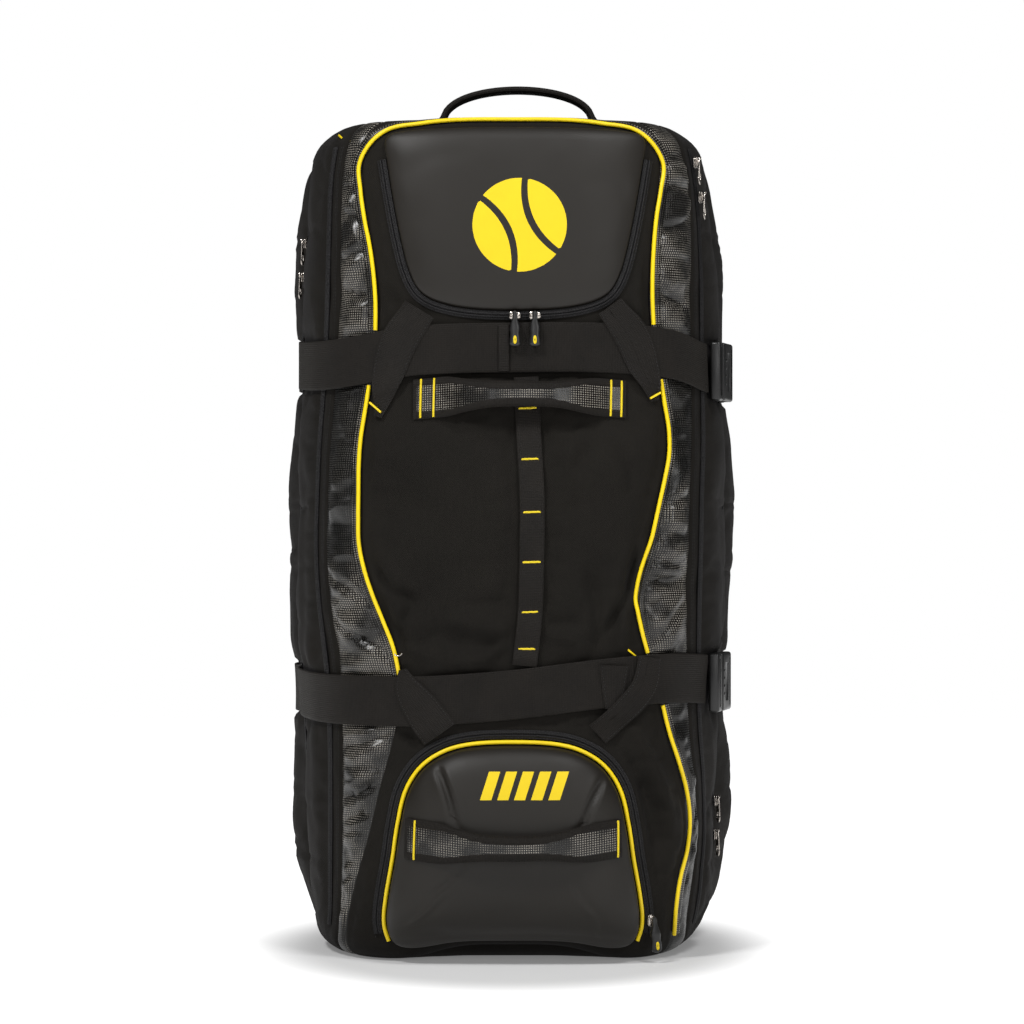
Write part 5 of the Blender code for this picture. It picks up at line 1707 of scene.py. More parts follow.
def make_dashes(material):
    """A row of plain slanted dashes printed on the lower pocket."""
    up = np.linspace(0, 1, 9)[:, None]
    across = np.linspace(0, 1, 6)[None, :]
    for index in range(DASH_COUNT):
        x = DASH_X + index * DASH_PITCH + DASH_WIDE * across + DASH_LEAN * up
        z = DASH_Z + DASH_TALL * up + 0 * across
        printed(f"pocket_dash_{index + 1}", "pocket", x, z, material)


def arc_of(z):
    """Distance up the cloth at height z, counted round the rounded top edge."""
    high = np.clip((z - HEIGHT + TOP_ROUND) / TOP_ROUND, 0, 1)
    return np.minimum(z, HEIGHT - TOP_ROUND) + TOP_ROUND * np.arcsin(high)


def height_at(arc):
    """Height of a place this far up the cloth."""
    over = np.clip((arc - HEIGHT + TOP_ROUND) / TOP_ROUND, 0, math.pi / 2)
    return np.minimum(arc, HEIGHT - TOP_ROUND) + TOP_ROUND * np.sin(over)


def piping_lines():
    """The (x, z) line of every run of piping."""
    upper, lower = STRAPS["upper"], STRAPS["lower"]
    shoulder = HEIGHT - 1.8 * TOP_ROUND
    left = seam_corners(1, strap_edge(*upper, 1, 1), shoulder, 7)
    right = seam_corners(2, shoulder, strap_edge(*upper, 2, 1), 7)
    head = HEIGHT - 0.16 * TOP_ROUND
    bend = (
        (0.94, shoulder + 0.72 * TOP_ROUND), (0.84, head - 0.40 * TOP_ROUND),
        (0.62, head - 0.15 * TOP_ROUND),
    )
    over = [(left[-1][0] * share, z) for share, z in bend]
    over += [(0.0, head), *((right[0][0] * share, z) for share, z in bend[::-1])]
    rim = pocket_outline(64, PIPING_RADIUS + 2 * PIPING_GAP)
    sides = [
        seam_corners(column, strap_edge(*upper, column, -1), strap_edge(*lower, column, 1), 12)
        for column in (1, 2)
    ]
    foot = BASE_ROUND + PIPING_RADIUS
    return {
        "piping_lid": [*left, *over, *right],
        "piping_left": sides[0],
        "piping_right_upper": sides[1],
        "piping_right_lower": seam_corners(2, strap_edge(*lower, 2, -1), foot, 9),
        "piping_pocket": open_run(rim, rim[:, 1] > POCKET_BASE_Z + PIPING_RADIUS),
    }


def make_piping(made):
    """Yellow cord in the seams, and the dotted binding beside it."""
    for name, corners in piping_lines().items():
        x, z = path_points(corners, CORD_STEP).T
        lift = np.full(len(z), PIPING_RADIUS + PIPING_GAP)
        if name == "piping_right_upper":
            hidden = smooth_step((z - 0.352) / 0.016) * smooth_step((0.432 - z) / 0.030)
            lift = lift - 0.0062 * hidden
        rings = around(front(x, z, lift), PIPING_RADIUS, 12)
        lofted(name + "_cord", rings, made["piping"], "piping", [name])
    make_binding(made["mesh"])
    share = np.linspace(0, 1, 5)
    for index, (x0, z0, x1, z1, high) in enumerate(YELLOW_ENDS):
        end = front(mm(x0 + (x1 - x0) * share), mm(z0 + (z1 - z0) * share), mm(high))
        lofted(f"piping_end_{index + 1}", around(end, END_RADIUS), made["piping"], "piping")
    turn = np.linspace(0.3, 2.6, 12)
    hook = front(HOOK_X + HOOK_RADIUS * np.cos(turn), HOOK_Z - HOOK_RADIUS * np.sin(turn), 0.0078)
    lofted("piping_hook", around(hook, WIRE_RADIUS), made["nickel"], "nickel")


def make_binding(material):
    """Dotted binding rolled beside the piping, over the top and down both shoulders."""
    lines = piping_lines()
    sides = {"piping_lid": 1, "piping_left": -1, "piping_right_upper": 1, "piping_right_lower": 1}
    turn = np.linspace(0, math.pi, 9)
    for name, side in sides.items():
        line = path_points(lines[name], CORD_STEP)
        flat = np.stack([line[:, 0], arc_of(line[:, 1])], -1)
        out = side * leftward(flat)
        wide = 0.0062 if name == "piping_lid" else 0.0046
        off = PIPING_RADIUS + 0.0004 + wide / 2 * (1 - np.cos(turn))
        high = 0.0004 + 0.0021 * np.sin(turn) ** 0.7
        place = flat[:, None, :] + out[:, None, :] * off[None, :, None]
        z = np.minimum(height_at(place[..., 1]), HEIGHT - 0.00002)
        points = front(place[..., 0], z, high[None, :])
        uv = np.stack(np.broadcast_arrays(off[None, :], run_length(flat)[:, None]), -1)
        faces = grid_faces(*points.shape[:2])
        if side < 0 or name == "piping_lid":
            faces = flipped(faces)
        add_piece("binding_" + name[7:], points, faces, material, "mesh_cloth", (), uv)


def band_rings(line, across, lift):
    """Rings of webbing or tape laid along a line of (x, z) seen from the front."""
    aside = leftward(line)
    return front(line[:, :1] + aside[:, :1] * across, line[:, 1:] + aside[:, 1:] * across, lift)


def webbing_section(width, thick, count=13):
    """Places across webbing and their heights, round its outer and inner faces."""
    half = width / 2
    round_off = 0.6 * thick
    across = np.linspace(-half + round_off, half - round_off, count)
    across = np.concatenate([[-half, -half + 0.25 * round_off], across])
    across = np.concatenate([across, [half - 0.25 * round_off, half]])
    high = np.full(len(across), thick)
    high[[0, -1]] = 0.45 * thick
    high[[1, -2]] = 0.85 * thick
    under = np.array([half - 0.3 * round_off, 0.0, -half + 0.3 * round_off])
    return np.concatenate([across, under]), np.concatenate([high, 0 * under])


def zip_runs(count, lid_grow, pocket_grow):
    """The lid's and the pocket's zip: name, outline grown this far, and where it is open."""
    lid, pocket = lid_outline(count, lid_grow), pocket_outline(count, pocket_grow)
    return (
        ("lid_zip", lid, lid[:, 1] < LID_TOP_Z - TOP_ROUND),
        ("pocket_zip", pocket, pocket[:, 1] > POCKET_BASE_Z + ZIP_WIDTH),
    )


def side_zip_heights(name, foot, side_count, rear_count):
    """Heights down a side zip, which starts this far above the base's edge, or a rear one."""
    if name.startswith("rear"):
        return np.linspace(REAR_ZIP_FOOT, REAR_ZIP_HEAD, rear_count)
    return np.linspace(BASE_ROUND + foot, HEIGHT - TOP_ROUND, side_count)


def make_zips(made):
    """Coil zips round the lid and the pocket and down the sides and rear bands."""
    share, rise = np.array(ZIP_PROFILE).T
    share = np.concatenate([-share[:0:-1], share, (0.98, 0.0, -0.98)])
    across = share * ZIP_WIDTH / 2
    high = np.concatenate([mm(rise[:0:-1]), mm(rise), np.zeros(3)])[None, :]
    coils = {}
    for name, outline, is_open in zip_runs(72, ZIP_MARGIN, POCKET_ZIP_MARGIN):
        line = path_points(open_run(outline, is_open), TAPE_STEP)
        coils[name] = band_rings(line, across[None, :], LAY_GAP + high)
    for name in SIDE_ZIPS:
        z = side_zip_heights(name, ZIP_WIDTH, 190, 170)
        t = zip_station(name, z)
        stations = t[:, None] + across[None, :] / pace_at(t, z)[:, None]
        coils[name] = wall(stations, z[:, None], SIDE_ZIP_LIFT + high)
    for name, rings in coils.items():
        lofted(name + "_coil", rings, made["zip"], "zip_tape", [name], 60, across)


def make_straps(made):
    """Compression straps, the webbing over them, and the loop by the lid's pulls."""
    material = made["webbing"]
    across, high = webbing_section(WEBBING, WEBBING_THICK, 15)
    for (word, (line, height)), seed in zip(STRAPS.items(), (3, 5)):
        ends = buckle_ends(line, height)
        for part, start, stop in (("_front", -CORNER_T, ends[0]), ("_rear", ends[1], CORNER_T)):
            t = np.linspace(start, stop, int(abs(stop - start) * 0.072 / 0.005))
            run = t * METRES_A_STATION
            wave = 0.0005 * swells(run[:, None], across[None, :] * 0.5, 0.045, seed)
            bow = 0.0009 * smooth_step(swells(run, 0.0, 0.09, seed + 1))[:, None]
            fade = smooth_step((t - start) / 0.25) * smooth_step((stop - t) / 0.25)
            lift = strap_lift(t)[:, None] + high + np.maximum(wave + bow, 0) * fade[:, None]
            rings = wall(t[:, None], strap_z(line, height, t)[:, None] + across, lift)
            node = "strap_" + word + part
            lofted(node + "_webbing", rings[::-1], material, "webbing", [node], 60, across)
    make_braces(material)
    z = float(strap_z(UPPER_LINE, STRAP_UPPER_Z, float(station_of(LOOP_X, STRAP_UPPER_Z))))
    half = WEBBING / 2 - BRACE_THICK
    line = path_points([(LOOP_X, z + half), (LOOP_X, z), (LOOP_X, z - half)], TAPE_STEP)
    across, high = webbing_section(LOOP_WIDTH, BRACE_THICK, 7)
    bulge = 0.0012 * np.sin(math.pi * np.linspace(0, 1, len(line)))[:, None]
    over = STRAP_LIFT + WEBBING_THICK + LAY_GAP
    rings = band_rings(line, across[None, :], over + high[None, :] + bulge)
    lofted("strap_loop_webbing", rings, material, "webbing", ["strap_loop"], 60, across)


def make_braces(material):
    """Diagonal webbing sewn down at both ends over the straps, and the strap's keeper."""
    share, rise = webbing_section(1.0, 1.0)
    share = np.clip(share, -0.5, 0.5)
    for name, (path, line, height, low, high) in BRACE_PATHS.items():
        width, flat = path[:, 2:], path[:, :2]
        aside = leftward(flat)
        x = flat[:, :1] + aside[:, :1] * share * width
        z = flat[:, 1:] + aside[:, 1:] * share * width
        wave = 0.0006 * swells(run_length(flat)[:, None], share[None, :] * 0.02, 0.018, 21)
        lift = low + high * over_strap(x, z, line, height) + BRACE_THICK * rise
        rings = front(x, z, lift + np.maximum(wave, 0))
        across = share * float(width.mean())
        lofted(name + "_webbing", rings, material, "webbing", [name], 60, across)


def chain_line():
    head = STRAP_UPPER_Z - WEBBING / 2 - 2 * LAY_GAP
    foot = float(strap_z(LOWER_LINE, STRAP_LOWER_Z, 0.2)) + WEBBING / 2 + 2 * LAY_GAP
    corners = [(sway * CHAIN_WIDTH, head + (foot - head) * down) for down, sway in CHAIN_ROWS]
    return path_points(corners, CHAIN_STEP)


def bar_tack(name, x, z, lift, material):
    """A dense row of zigzag stitches across webbing."""
    across = np.linspace(-1, 1, 17)[None, :]
    up = np.linspace(-1, 1, 7)[:, None]
    rise = TACK_THICK * (1 - across**6) * (1 - up**2) ** 0.5
    rise = rise * (1 + 0.25 * np.sin(across * 40 + up * 2))
    turn = math.radians(TACK_LEAN)
    dx, dz = across * TACK_LENGTH / 2, up * TACK_TALL / 2
    place_x = x + dx * math.cos(turn) - dz * math.sin(turn)
    place_z = z + dx * math.sin(turn) + dz * math.cos(turn)
    points = front(place_x, place_z, lift + rise)
    add_piece(name, turned_panel(points, 0.0006), grid_faces(9, 19), material, "piping")


def make_chain(made):
    """Narrow webbing down the front, sewn into loops by yellow bar tacks."""
    line = chain_line()
    across, high = webbing_section(CHAIN_WIDTH, WEBBING_THICK, 9)
    edges = np.concatenate([[line[0, 1]], mm(CHAIN_TACKS), [line[-1, 1]]])
    seam = np.clip(np.searchsorted(-edges, -line[:, 1], side="right") - 1, 0, len(edges) - 2)
    share = (edges[seam] - line[:, 1]) / (edges[seam] - edges[seam + 1])
    bulge = CHAIN_LOOP_RISE * np.sin(math.pi * np.clip(share, 0, 1)) ** 0.8
    low = 1.5 * LAY_GAP
    rings = band_rings(line, across[None, :], low + high[None, :] + bulge[:, None])
    lofted("daisy_chain_webbing", rings, made["webbing"], "webbing", ["daisy_chain"], 60, across)
    for index, z in enumerate(mm(CHAIN_TACKS)):
        x = float(np.interp(-z, -line[:, 1], line[:, 0]))
        bar_tack(f"chain_tack_{index + 1}", x, z, low + WEBBING_THICK - 0.0001, made["thread"])


def rounded(share):
    """Height of a grip's outer face at shares of its half height, as a share of the grip's."""
    return 0.30 + 0.70 * (1 - np.abs(share) ** 5) ** 0.6


def grip_section(tall, thick, recess):
    """Places (up, out) round a padded grip."""
    share = np.linspace(-1, 1, 25)
    out = thick * rounded(share) - INLAY_SINK * smooth_step((recess - np.abs(share)) / 0.08 + 0.5)
    under_up = np.array([0.86, 0.72, 0.36, 0.0, -0.36, -0.72, -0.86]) * tall / 2
    under_out = np.array([0.08, 0.0, 0.0, 0.0, 0.0, 0.0, 0.08]) * thick
    return np.concatenate([share * tall / 2, under_up]), np.concatenate([out, under_out])


def make_grip(name, length, z, shift, rise, sag, seat, seams, made):
    """A padded handle: webbing edges round a dotted inlay, sewn down at both ends."""

    def grip_at(along):
        tall, thick, off = (smooth_column(GRIP_ROWS, column, along) for column in (1, 2, 3))
        level = z - sag * np.sin(math.pi * along)
        return tall * GRIP_TALL, thick * GRIP_THICK, np.clip(off, 0, 1) * rise, level

    def lay(x, level, up, out):
        return front(x, level + up, seat(np.full(len(up), x), level + up) + out)

    along = np.concatenate([[0.0], np.linspace(0.004, 0.996, 84), [1.0]])
    x = shift + (along - 0.5) * length
    rows = zip(x, *grip_at(along), smooth_column(INLAY_ROWS, 1, along))
    rings, patch, ups = [], [], []
    for place, tall, thick, off, level, inlay in rows:
        up, out = grip_section(tall, thick, inlay)
        rings.append(lay(place, level, up, off + out))
        share = np.linspace(-1, 1, 9) * (inlay + 0.03)
        ups.append(share * tall / 2)
        patch.append(lay(place, level, ups[-1], off + thick * rounded(share) - 0.55 * INLAY_SINK))
    grip = lofted(name + "_webbing", rings[::-1], made["webbing"], "webbing", [name])
    where = (along > 0.012) & (along < 0.988)
    points, up = np.array(patch)[where], np.array(ups)[where]
    uv = np.stack([np.repeat(x[where][:, None], 9, 1), up], -1)
    faces = flipped(grid_faces(*points.shape[:2]))
    add_piece(name + "_inlay", points, faces, made["mesh"], "mesh_cloth", (), uv)
    for index, seam in enumerate(seams):
        tall, thick, off, level = (float(v) for v in grip_at((seam - shift) / length + 0.5))
        share = np.linspace(-0.94, 0.94, 24)
        up = share * tall / 2
        base = seat(np.full(24, seam), level + up)
        points = front(seam + 0.02 * up, level + up, base + off + thick * rounded(share))
        lofted(f"{name}_seam_{index + 1}", around(points, SEAM_CORD_RADIUS), made["thread"], "piping")


def flat_seat(x, z):
    return LAY_GAP + 0 * z


def dome_seat(x, z):
    """How high over the front a grip on the pocket starts at (x, z)."""
    share = np.clip(pad_share(pocket_outline(36), x, z), 0, 1)
    rises = POCKET_CROWN * np.sqrt(1 - share**4)
    return LAY_GAP + WALL + GRIP_SEAT - 0.0006 + rises


def make_handles(made):
    """The front grip, the pocket's grip and the top handle."""
    make_grip("front_handle", GRIP_LENGTH, GRIP_Z, GRIP_SHIFT, GRIP_RISE, -GRIP_LIFTED,
              flat_seat, FRONT_GRIP_SEAMS, made)
    make_grip("pocket_handle", POCKET_GRIP_LENGTH, POCKET_GRIP_Z, POCKET_SHIFT,
              POCKET_GRIP_RISE, POCKET_GRIP_SAG, dome_seat, POCKET_GRIP_SEAMS, made)
    make_top_handle(made)


def make_top_handle(made):
    """A padded webbing arch over the top, its two feet sewn flat."""
    half = TOP_HANDLE_SPAN / 2
    seat = HEIGHT + TOP_CROWN * (1 - (half / (WIDTH / 2)) ** 2)
    middle = seat + TOP_HANDLE_THICK / 2
    rise = TOP_HANDLE_RISE - TOP_HANDLE_THICK
    turns = np.linspace(math.radians(172), math.radians(8), 17)
    arch = [(0.80 * half * math.cos(turn), middle + rise * math.sin(turn) ** 0.8) for turn in turns]
    feet = [(-half, middle), (-0.86 * half, middle)], [(0.86 * half, middle), (half, middle)]
    line = path_points([*feet[0], *arch, *feet[1]], TAPE_STEP)
    line[:, 1] = np.maximum(line[:, 1], middle)
    side, up = squarish(np.linspace(0, 2 * math.pi, 32, endpoint=False), 0.45, 0.65)
    side, up = side * TOP_HANDLE_WIDTH / 2, up * TOP_HANDLE_THICK / 2
    rings = [
        np.stack([TOP_HANDLE_SHIFT + x + out_x * up, TOP_HANDLE_Y + side, z + out_z * up], -1)
        for (x, z), (out_x, out_z) in zip(line, leftward(line))
    ]
    bar = lofted("top_handle_webbing", rings, made["webbing"], "webbing", ["top_handle"], 60)
    run = np.linspace(half * 0.90, half * 0.99, 6)
    for foot in (-1, 1):
        for edge in (-1, 1):
            y = np.full(6, TOP_HANDLE_Y + edge * TOP_HANDLE_WIDTH * 0.34)
            z = np.full(6, seat + TOP_HANDLE_THICK - 0.0004)
            rings = around(np.stack([TOP_HANDLE_SHIFT + foot * run, y, z], -1), 0.0007, 6)
            lofted(f"top_handle_seam_{foot + 2}_{edge + 2}", rings, made["black_thread"], "webbing")


# Sliders and pulls, in metres.
PLATE_THICK = 0.0011
BRIDGE_WIRE = 0.0009
RING_RADIUS = 0.0038
RING_WIRE = 0.0007
TIP_LENGTH = 0.0085
TIP_WIDTH = 0.0036

# Studio.
CAMERA_HEIGHT = 0.453
CAMERA_BACK = 3.5
CAMERA_LENS = 123.0
FLOOR_HALF = 4.0


def rounded_outline(width, length, count, power=3.0, taper=0.0):
    """A rounded plate's outline (across, along); taper narrows its upper end."""
    turn = np.linspace(0, 2 * math.pi, count, endpoint=False)
    x, y = squarish(turn, 2 / power, 2 / power)
    x, y = x * width / 2, y * length / 2
    return np.stack([x * (1 - taper * (y / length + 0.5)), y], -1)


def holed_plate(outline, hole, low, high, round_off):
    """Points and faces of a plate with rounded edges and a hole, both of equal counts."""
    count = len(outline)

    def grown_out(ring, by):
        away = ring - ring.mean(0)
        return ring + away / np.linalg.norm(away, axis=1)[:, None] * by

    inset, flare = grown_out(outline, -round_off), grown_out(hole, 0.6 * round_off)
    levels = (
        (flare, high), (inset, high), (outline, high - round_off), (outline, low + round_off),
        (inset, low), (flare, low), (hole, low + round_off), (hole, high - round_off),
    )
    points = np.concatenate([np.column_stack([ring, np.full(count, z)]) for ring, z in levels])
    faces = []
    for r in range(len(levels)):
        s = (r + 1) % len(levels)
        for i in range(count):
            j = (i + 1) % count
            faces.append((r * count + j, r * count + i, s * count + i, s * count + j))
    return points, faces


def placed(points, place):
    """Points of a piece's own frame, in the bag's frame."""
    matrix = np.array(place)
    return points @ matrix[:3, :3].T + matrix[:3, 3]


def slider_parts(level):
    """Points and faces of a slider: two plates, their post, and the bridge over them."""
    outline = rounded_outline(SLIDER_WIDTH, SLIDER_LENGTH, 24, 3.4, 0.30)
    hole = rounded_outline(0.0012, 0.0022, 24, 2.0)
    turn = np.linspace(math.radians(178), math.radians(2), 13)
    rise = SLIDER_THICK - BRIDGE_WIRE - 0.0020 - PLATE_THICK * 0.6
    arch = np.stack([0 * turn, 0.0042 * np.cos(turn), 0.0026 + rise * np.sin(turn)], -1)
    post = ((0, -0.001, 0.0004), (0, 0.0, 0.0014), (0, 0.001, 0.0026))
    points, faces = join_meshes([
        holed_plate(outline, hole, 0.0, PLATE_THICK, 0.0003),
        holed_plate(outline * 0.96, hole, 0.0020, 0.0020 + PLATE_THICK, 0.0003),
        loft(around(arch, BRIDGE_WIRE)),
        loft(around(post, 0.0016)),
    ])
    if level:
        points = points[:, [1, 0, 2]] * (1, -1, 1)
    return points, faces


def tab_parts():
    """Points and faces of a metal pull tab with an oval hole, and the ring through it."""
    low = SLIDER_THICK + PULL_GAP
    middle = low + PULL_THICK * 0.4
    drop = -(PULL_LENGTH / 2 - SLIDER_LENGTH / 3)
    outline = rounded_outline(PULL_WIDTH, PULL_LENGTH, 32, 3.0, 0.38) + (0, drop)
    hole = rounded_outline(PULL_WIDTH * 0.48, PULL_LENGTH * 0.26, 32, 2.2)
    hole = hole + (0, drop - PULL_LENGTH * 0.22)
    turn = np.linspace(0.2, 2 * math.pi - 0.2, 22)
    x, y = np.sin(turn), np.cos(turn)
    loop_y = SLIDER_LENGTH / 3 - 0.0012 + 0.0026 * y
    loop = np.stack([0.0022 * x, loop_y, middle + 0.0012 * y], -1)
    ring_y = drop - PULL_LENGTH * 0.30 + RING_RADIUS * y
    ring = np.stack([RING_RADIUS * x, ring_y, middle + 0 * turn], -1)
    return join_meshes([
        holed_plate(outline, hole, low, low + PULL_THICK * 0.8, 0.0004),
        loft(around(loop, 0.0006, 6)),
        loft(around(ring, RING_WIRE, 6)),
    ])


def moulded_parts():
    """Points and faces of a soft moulded pull, and of the yellow tip let into it."""
    low = SLIDER_THICK + PULL_GAP
    middle = low + MOULDED_PULL_THICK / 2
    run = np.linspace(0, 1, 25)
    half = MOULDED_PULL_WIDTH / 2 * (0.46 + 0.54 * smooth_step((run - 0.16) / 0.36))
    half = half * np.sqrt(np.clip(1 - ((run - 0.90) / 0.1001).clip(0, 1) ** 2, 0.05, 1))
    half = half * np.sqrt(np.clip(run / 0.05, 0.25, 1)) * (1 - 0.16 * bell(run - 0.62, 0.10))
    thick = MOULDED_PULL_THICK / 2 * (0.55 + 0.45 * smooth_step((run - 0.10) / 0.4))
    thick = thick * np.sqrt(np.clip(1 - ((run - 0.88) / 0.1201).clip(0, 1) ** 2, 0.08, 1))
    side, out = squarish(np.linspace(0, 2 * math.pi, 24, endpoint=False), 0.7, 0.7)
    y = SLIDER_LENGTH / 3 - run * MOULDED_PULL_LENGTH
    points, faces = loft([
        np.stack([side * w, np.full(24, place), middle + out * d], -1)
        for w, d, place in zip(half, thick, y)
    ])
    drop = (0, SLIDER_LENGTH / 3 - 0.80 * MOULDED_PULL_LENGTH)
    outline = rounded_outline(TIP_WIDTH, TIP_LENGTH, 20, 2.4) + drop
    hole = rounded_outline(TIP_WIDTH * 0.2, TIP_LENGTH * 0.3, 20, 2.0) + drop
    tip = holed_plate(outline, hole, middle, low + MOULDED_PULL_THICK + 0.0003, 0.0003)
    return (points, flipped(faces)), tip


def add_pull(name, place, out, down, made, moulded=False, level=False):
    """A slider with its pull at a place on the bag, facing out and hanging down."""
    out, down = Vector(out).normalized(), Vector(down).normalized()
    aside = out.cross(down).normalized()
    matrix = Matrix((aside, out.cross(aside), out)).transposed().to_4x4()
    matrix.translation = Vector(place)

    def cast(node, end, mesh, material, slot, nodes):
        add_piece(node + end, placed(mesh[0], matrix), mesh[1], material, slot, nodes)

    node = "zip_slider_" + name
    cast(node, "_cast", slider_parts(level), made["nickel"], "nickel", [node])
    node = "zip_pull_" + name
    if not moulded:
        cast(node, "_tab", tab_parts(), made["nickel"], "nickel", [node])
        return
    grip, tip = moulded_parts()
    cast(node, "_grip", grip, made["plastic"], "plastic", [node])
    cast(node, "_tip", tip, made["thread"], "piping", [])


def make_sliders(made):
    """Zip sliders with their pulls: two on the lid, one on the pocket, six at the sides."""
    seat = LAY_GAP + ZIP_THICK + 2 * PULL_GAP
    foot = LID_TOP_Z - LID_HEIGHT - ZIP_MARGIN
    for word, x in LID_PULLS:
        place, above = front(x, foot, seat), front(x, foot, seat + 0.01)
        add_pull(word, place, above - place, (0, 0, -1), made, True, True)
    corner = pocket_outline(72, POCKET_ZIP_MARGIN)
    from_stop = np.hypot(corner[:, 0] - POCKET_WIDTH / 2, corner[:, 1] - POCKET_PULL_Z)
    x, z = corner[np.argmin(from_stop)]
    place, above = front(x, z, seat + 2 * PULL_GAP), front(x, z, seat + 0.01)
    add_pull("pocket", place, above - place, (0.1, 0, -1), made, True)
    seat = SIDE_ZIP_LIFT + ZIP_THICK + PULL_GAP
    for word, run, share in SIDE_PULLS:
        clear = 2 * PULL_GAP if run.startswith("side") else 0.0
        for index in (1, 2):
            z = share * HEIGHT - (index - 1) * (PULL_LENGTH + 0.7 * SLIDER_LENGTH)
            t = float(zip_station(run, np.array([z]))[0])
            place, above = wall(t, z, seat + clear), wall(t, z, seat + 0.01)
            add_pull(f"{word}_{index}", place, above - place, (0, 0, -1), made)


def block(size, centre, bevel, steps=3):
    """A moulded block with rounded edges, to cut from another or to join to it."""
    form = bmesh.new()
    bmesh.ops.create_cube(form, size=1.0)
    bmesh.ops.scale(form, vec=size, verts=form.verts)
    if bevel:
        bmesh.ops.bevel(
            form, geom=form.edges, offset=bevel, segments=steps, affect="EDGES", profile=0.5
        )
    bmesh.ops.translate(form, vec=centre, verts=form.verts)
    mesh = bpy.data.meshes.new("block")
    form.to_mesh(mesh)
    form.free()
    return show("block", mesh)


def shaped(body, steps):
    """Points and faces of a block after cutting or adding other blocks."""
    for operation, other in steps:
        change = body.modifiers.new(operation.lower(), "BOOLEAN")
        change.operation = operation
        change.solver = "EXACT"
        change.object = other
    shape = body.evaluated_get(bpy.context.evaluated_depsgraph_get()).to_mesh()
    points = np.array([tuple(v.co) for v in shape.vertices])
    faces = [tuple(f.vertices) for f in shape.polygons]
    for piece in (body, *[other for _, other in steps]):
        bpy.data.objects.remove(piece)
    return points, faces


def make_buckles(made):
    """Side-release buckles on the right: a rounded socket, and the plug pushed into it."""
    middle, mouth = BUCKLE_THICK / 2, -BUCKLE_LENGTH / 2
    inside = BUCKLE_THICK - 2 * BUCKLE_WALL
    tongue_tall = BUCKLE_TALL - 8 * BUCKLE_WALL
    slot_size = (0.006, WEBBING, 2 * BUCKLE_THICK)
    plug_x = mouth - BUCKLE_GAP - PLUG_BASE / 2
    tongue_long = PLUG_TONGUE + PLUG_BASE / 2 - 0.002
    tongue_x = mouth + PLUG_TONGUE - 0.001 - BUCKLE_GAP - tongue_long / 2
    for word, (line, height) in STRAPS.items():
        place = surface_frame(BUCKLE_T, float(strap_z(line, height, BUCKLE_T)), BUCKLE_LIFT)
        body = block((BUCKLE_LENGTH, BUCKLE_TALL, BUCKLE_THICK), (0, 0, middle), 0.0028)
        hollow_x = mouth + PLUG_TONGUE / 2 - 0.001
        dip_size = (0.018, BUCKLE_TALL - 0.020, 0.004)
        cuts = (
            block((PLUG_TONGUE, tongue_tall, inside), (hollow_x, 0, middle), 0.0),
            block((0.014, 2 * BUCKLE_TALL, inside), (mouth + 0.016, 0, middle), 0.0025, 2),
            block(slot_size, (BUCKLE_LENGTH / 2 - 0.007, 0, middle), 0.0012, 2),
            block(dip_size, (-0.002, 0, BUCKLE_THICK + 0.0010), 0.0015, 2),
        )
        steps = [("DIFFERENCE", cut) for cut in cuts]
        for index in range(4):
            rib_place = (mouth + 0.006, (index - 1.5) * 0.008, BUCKLE_THICK)
            steps.append(("UNION", block((0.004, 0.0025, 0.0016), rib_place, 0.0004, 1)))
        plug = block((PLUG_BASE, BUCKLE_TALL, BUCKLE_THICK - BUCKLE_WALL), (plug_x, 0, middle), 0.0024)
        tongue_size = (tongue_long, tongue_tall - 2 * BUCKLE_GAP, inside - 2 * BUCKLE_GAP)
        plug_steps = [
            ("UNION", block(tongue_size, (tongue_x, 0, middle), 0.0010, 2)),
            ("DIFFERENCE", block(slot_size, (plug_x - 0.003, 0, middle), 0.0012, 2)),
        ]
        for end, form, changes in (("_socket", body, steps), ("_plug", plug, plug_steps)):
            node = "buckle_" + word + end
            points, faces = shaped(form, changes)
            add_piece(
                node + "_moulding", placed(points, place), faces, made["plastic"], "plastic",
                [node], corner=35,
            )


def stitch_row(surface, across, z, lift):
    """Points and faces of a row of stitches on the bag, each a small spindle."""
    points = surface(across, z, lift)
    out = surface(across, z, lift + 0.01) - points
    out /= np.linalg.norm(out, axis=1)[:, None]
    run = run_length(points)
    count = max(1, int(run[-1] / STITCH_PITCH))
    at = (np.arange(count) + 0.5) * run[-1] / count

    def found(line, along):
        return np.stack([np.interp(along, run, column) for column in line.T], -1)

    normal = found(out, at)
    start, end = found(points, at - STITCH_LENGTH / 2), found(points, at + STITCH_LENGTH / 2)
    middle = (start + end) / 2 + normal * THREAD_LIFT
    aside = np.cross(end - start, normal)
    aside = aside / np.maximum(np.linalg.norm(aside, axis=1), 1e-9)[:, None] * STITCH_WIDTH / 2
    crest = middle + normal * STITCH_WIDTH / 2
    sunk = normal * THREAD_LIFT
    spindles = np.stack([start - sunk, middle + aside, crest, middle - aside, end - sunk], 1)
    sides = ((0, 1, 2), (0, 2, 3), (4, 2, 1), (4, 3, 2))
    faces = [tuple(5 * row + k for k in side) for row in range(count) for side in sides]
    return spindles.reshape(-1, 3), faces


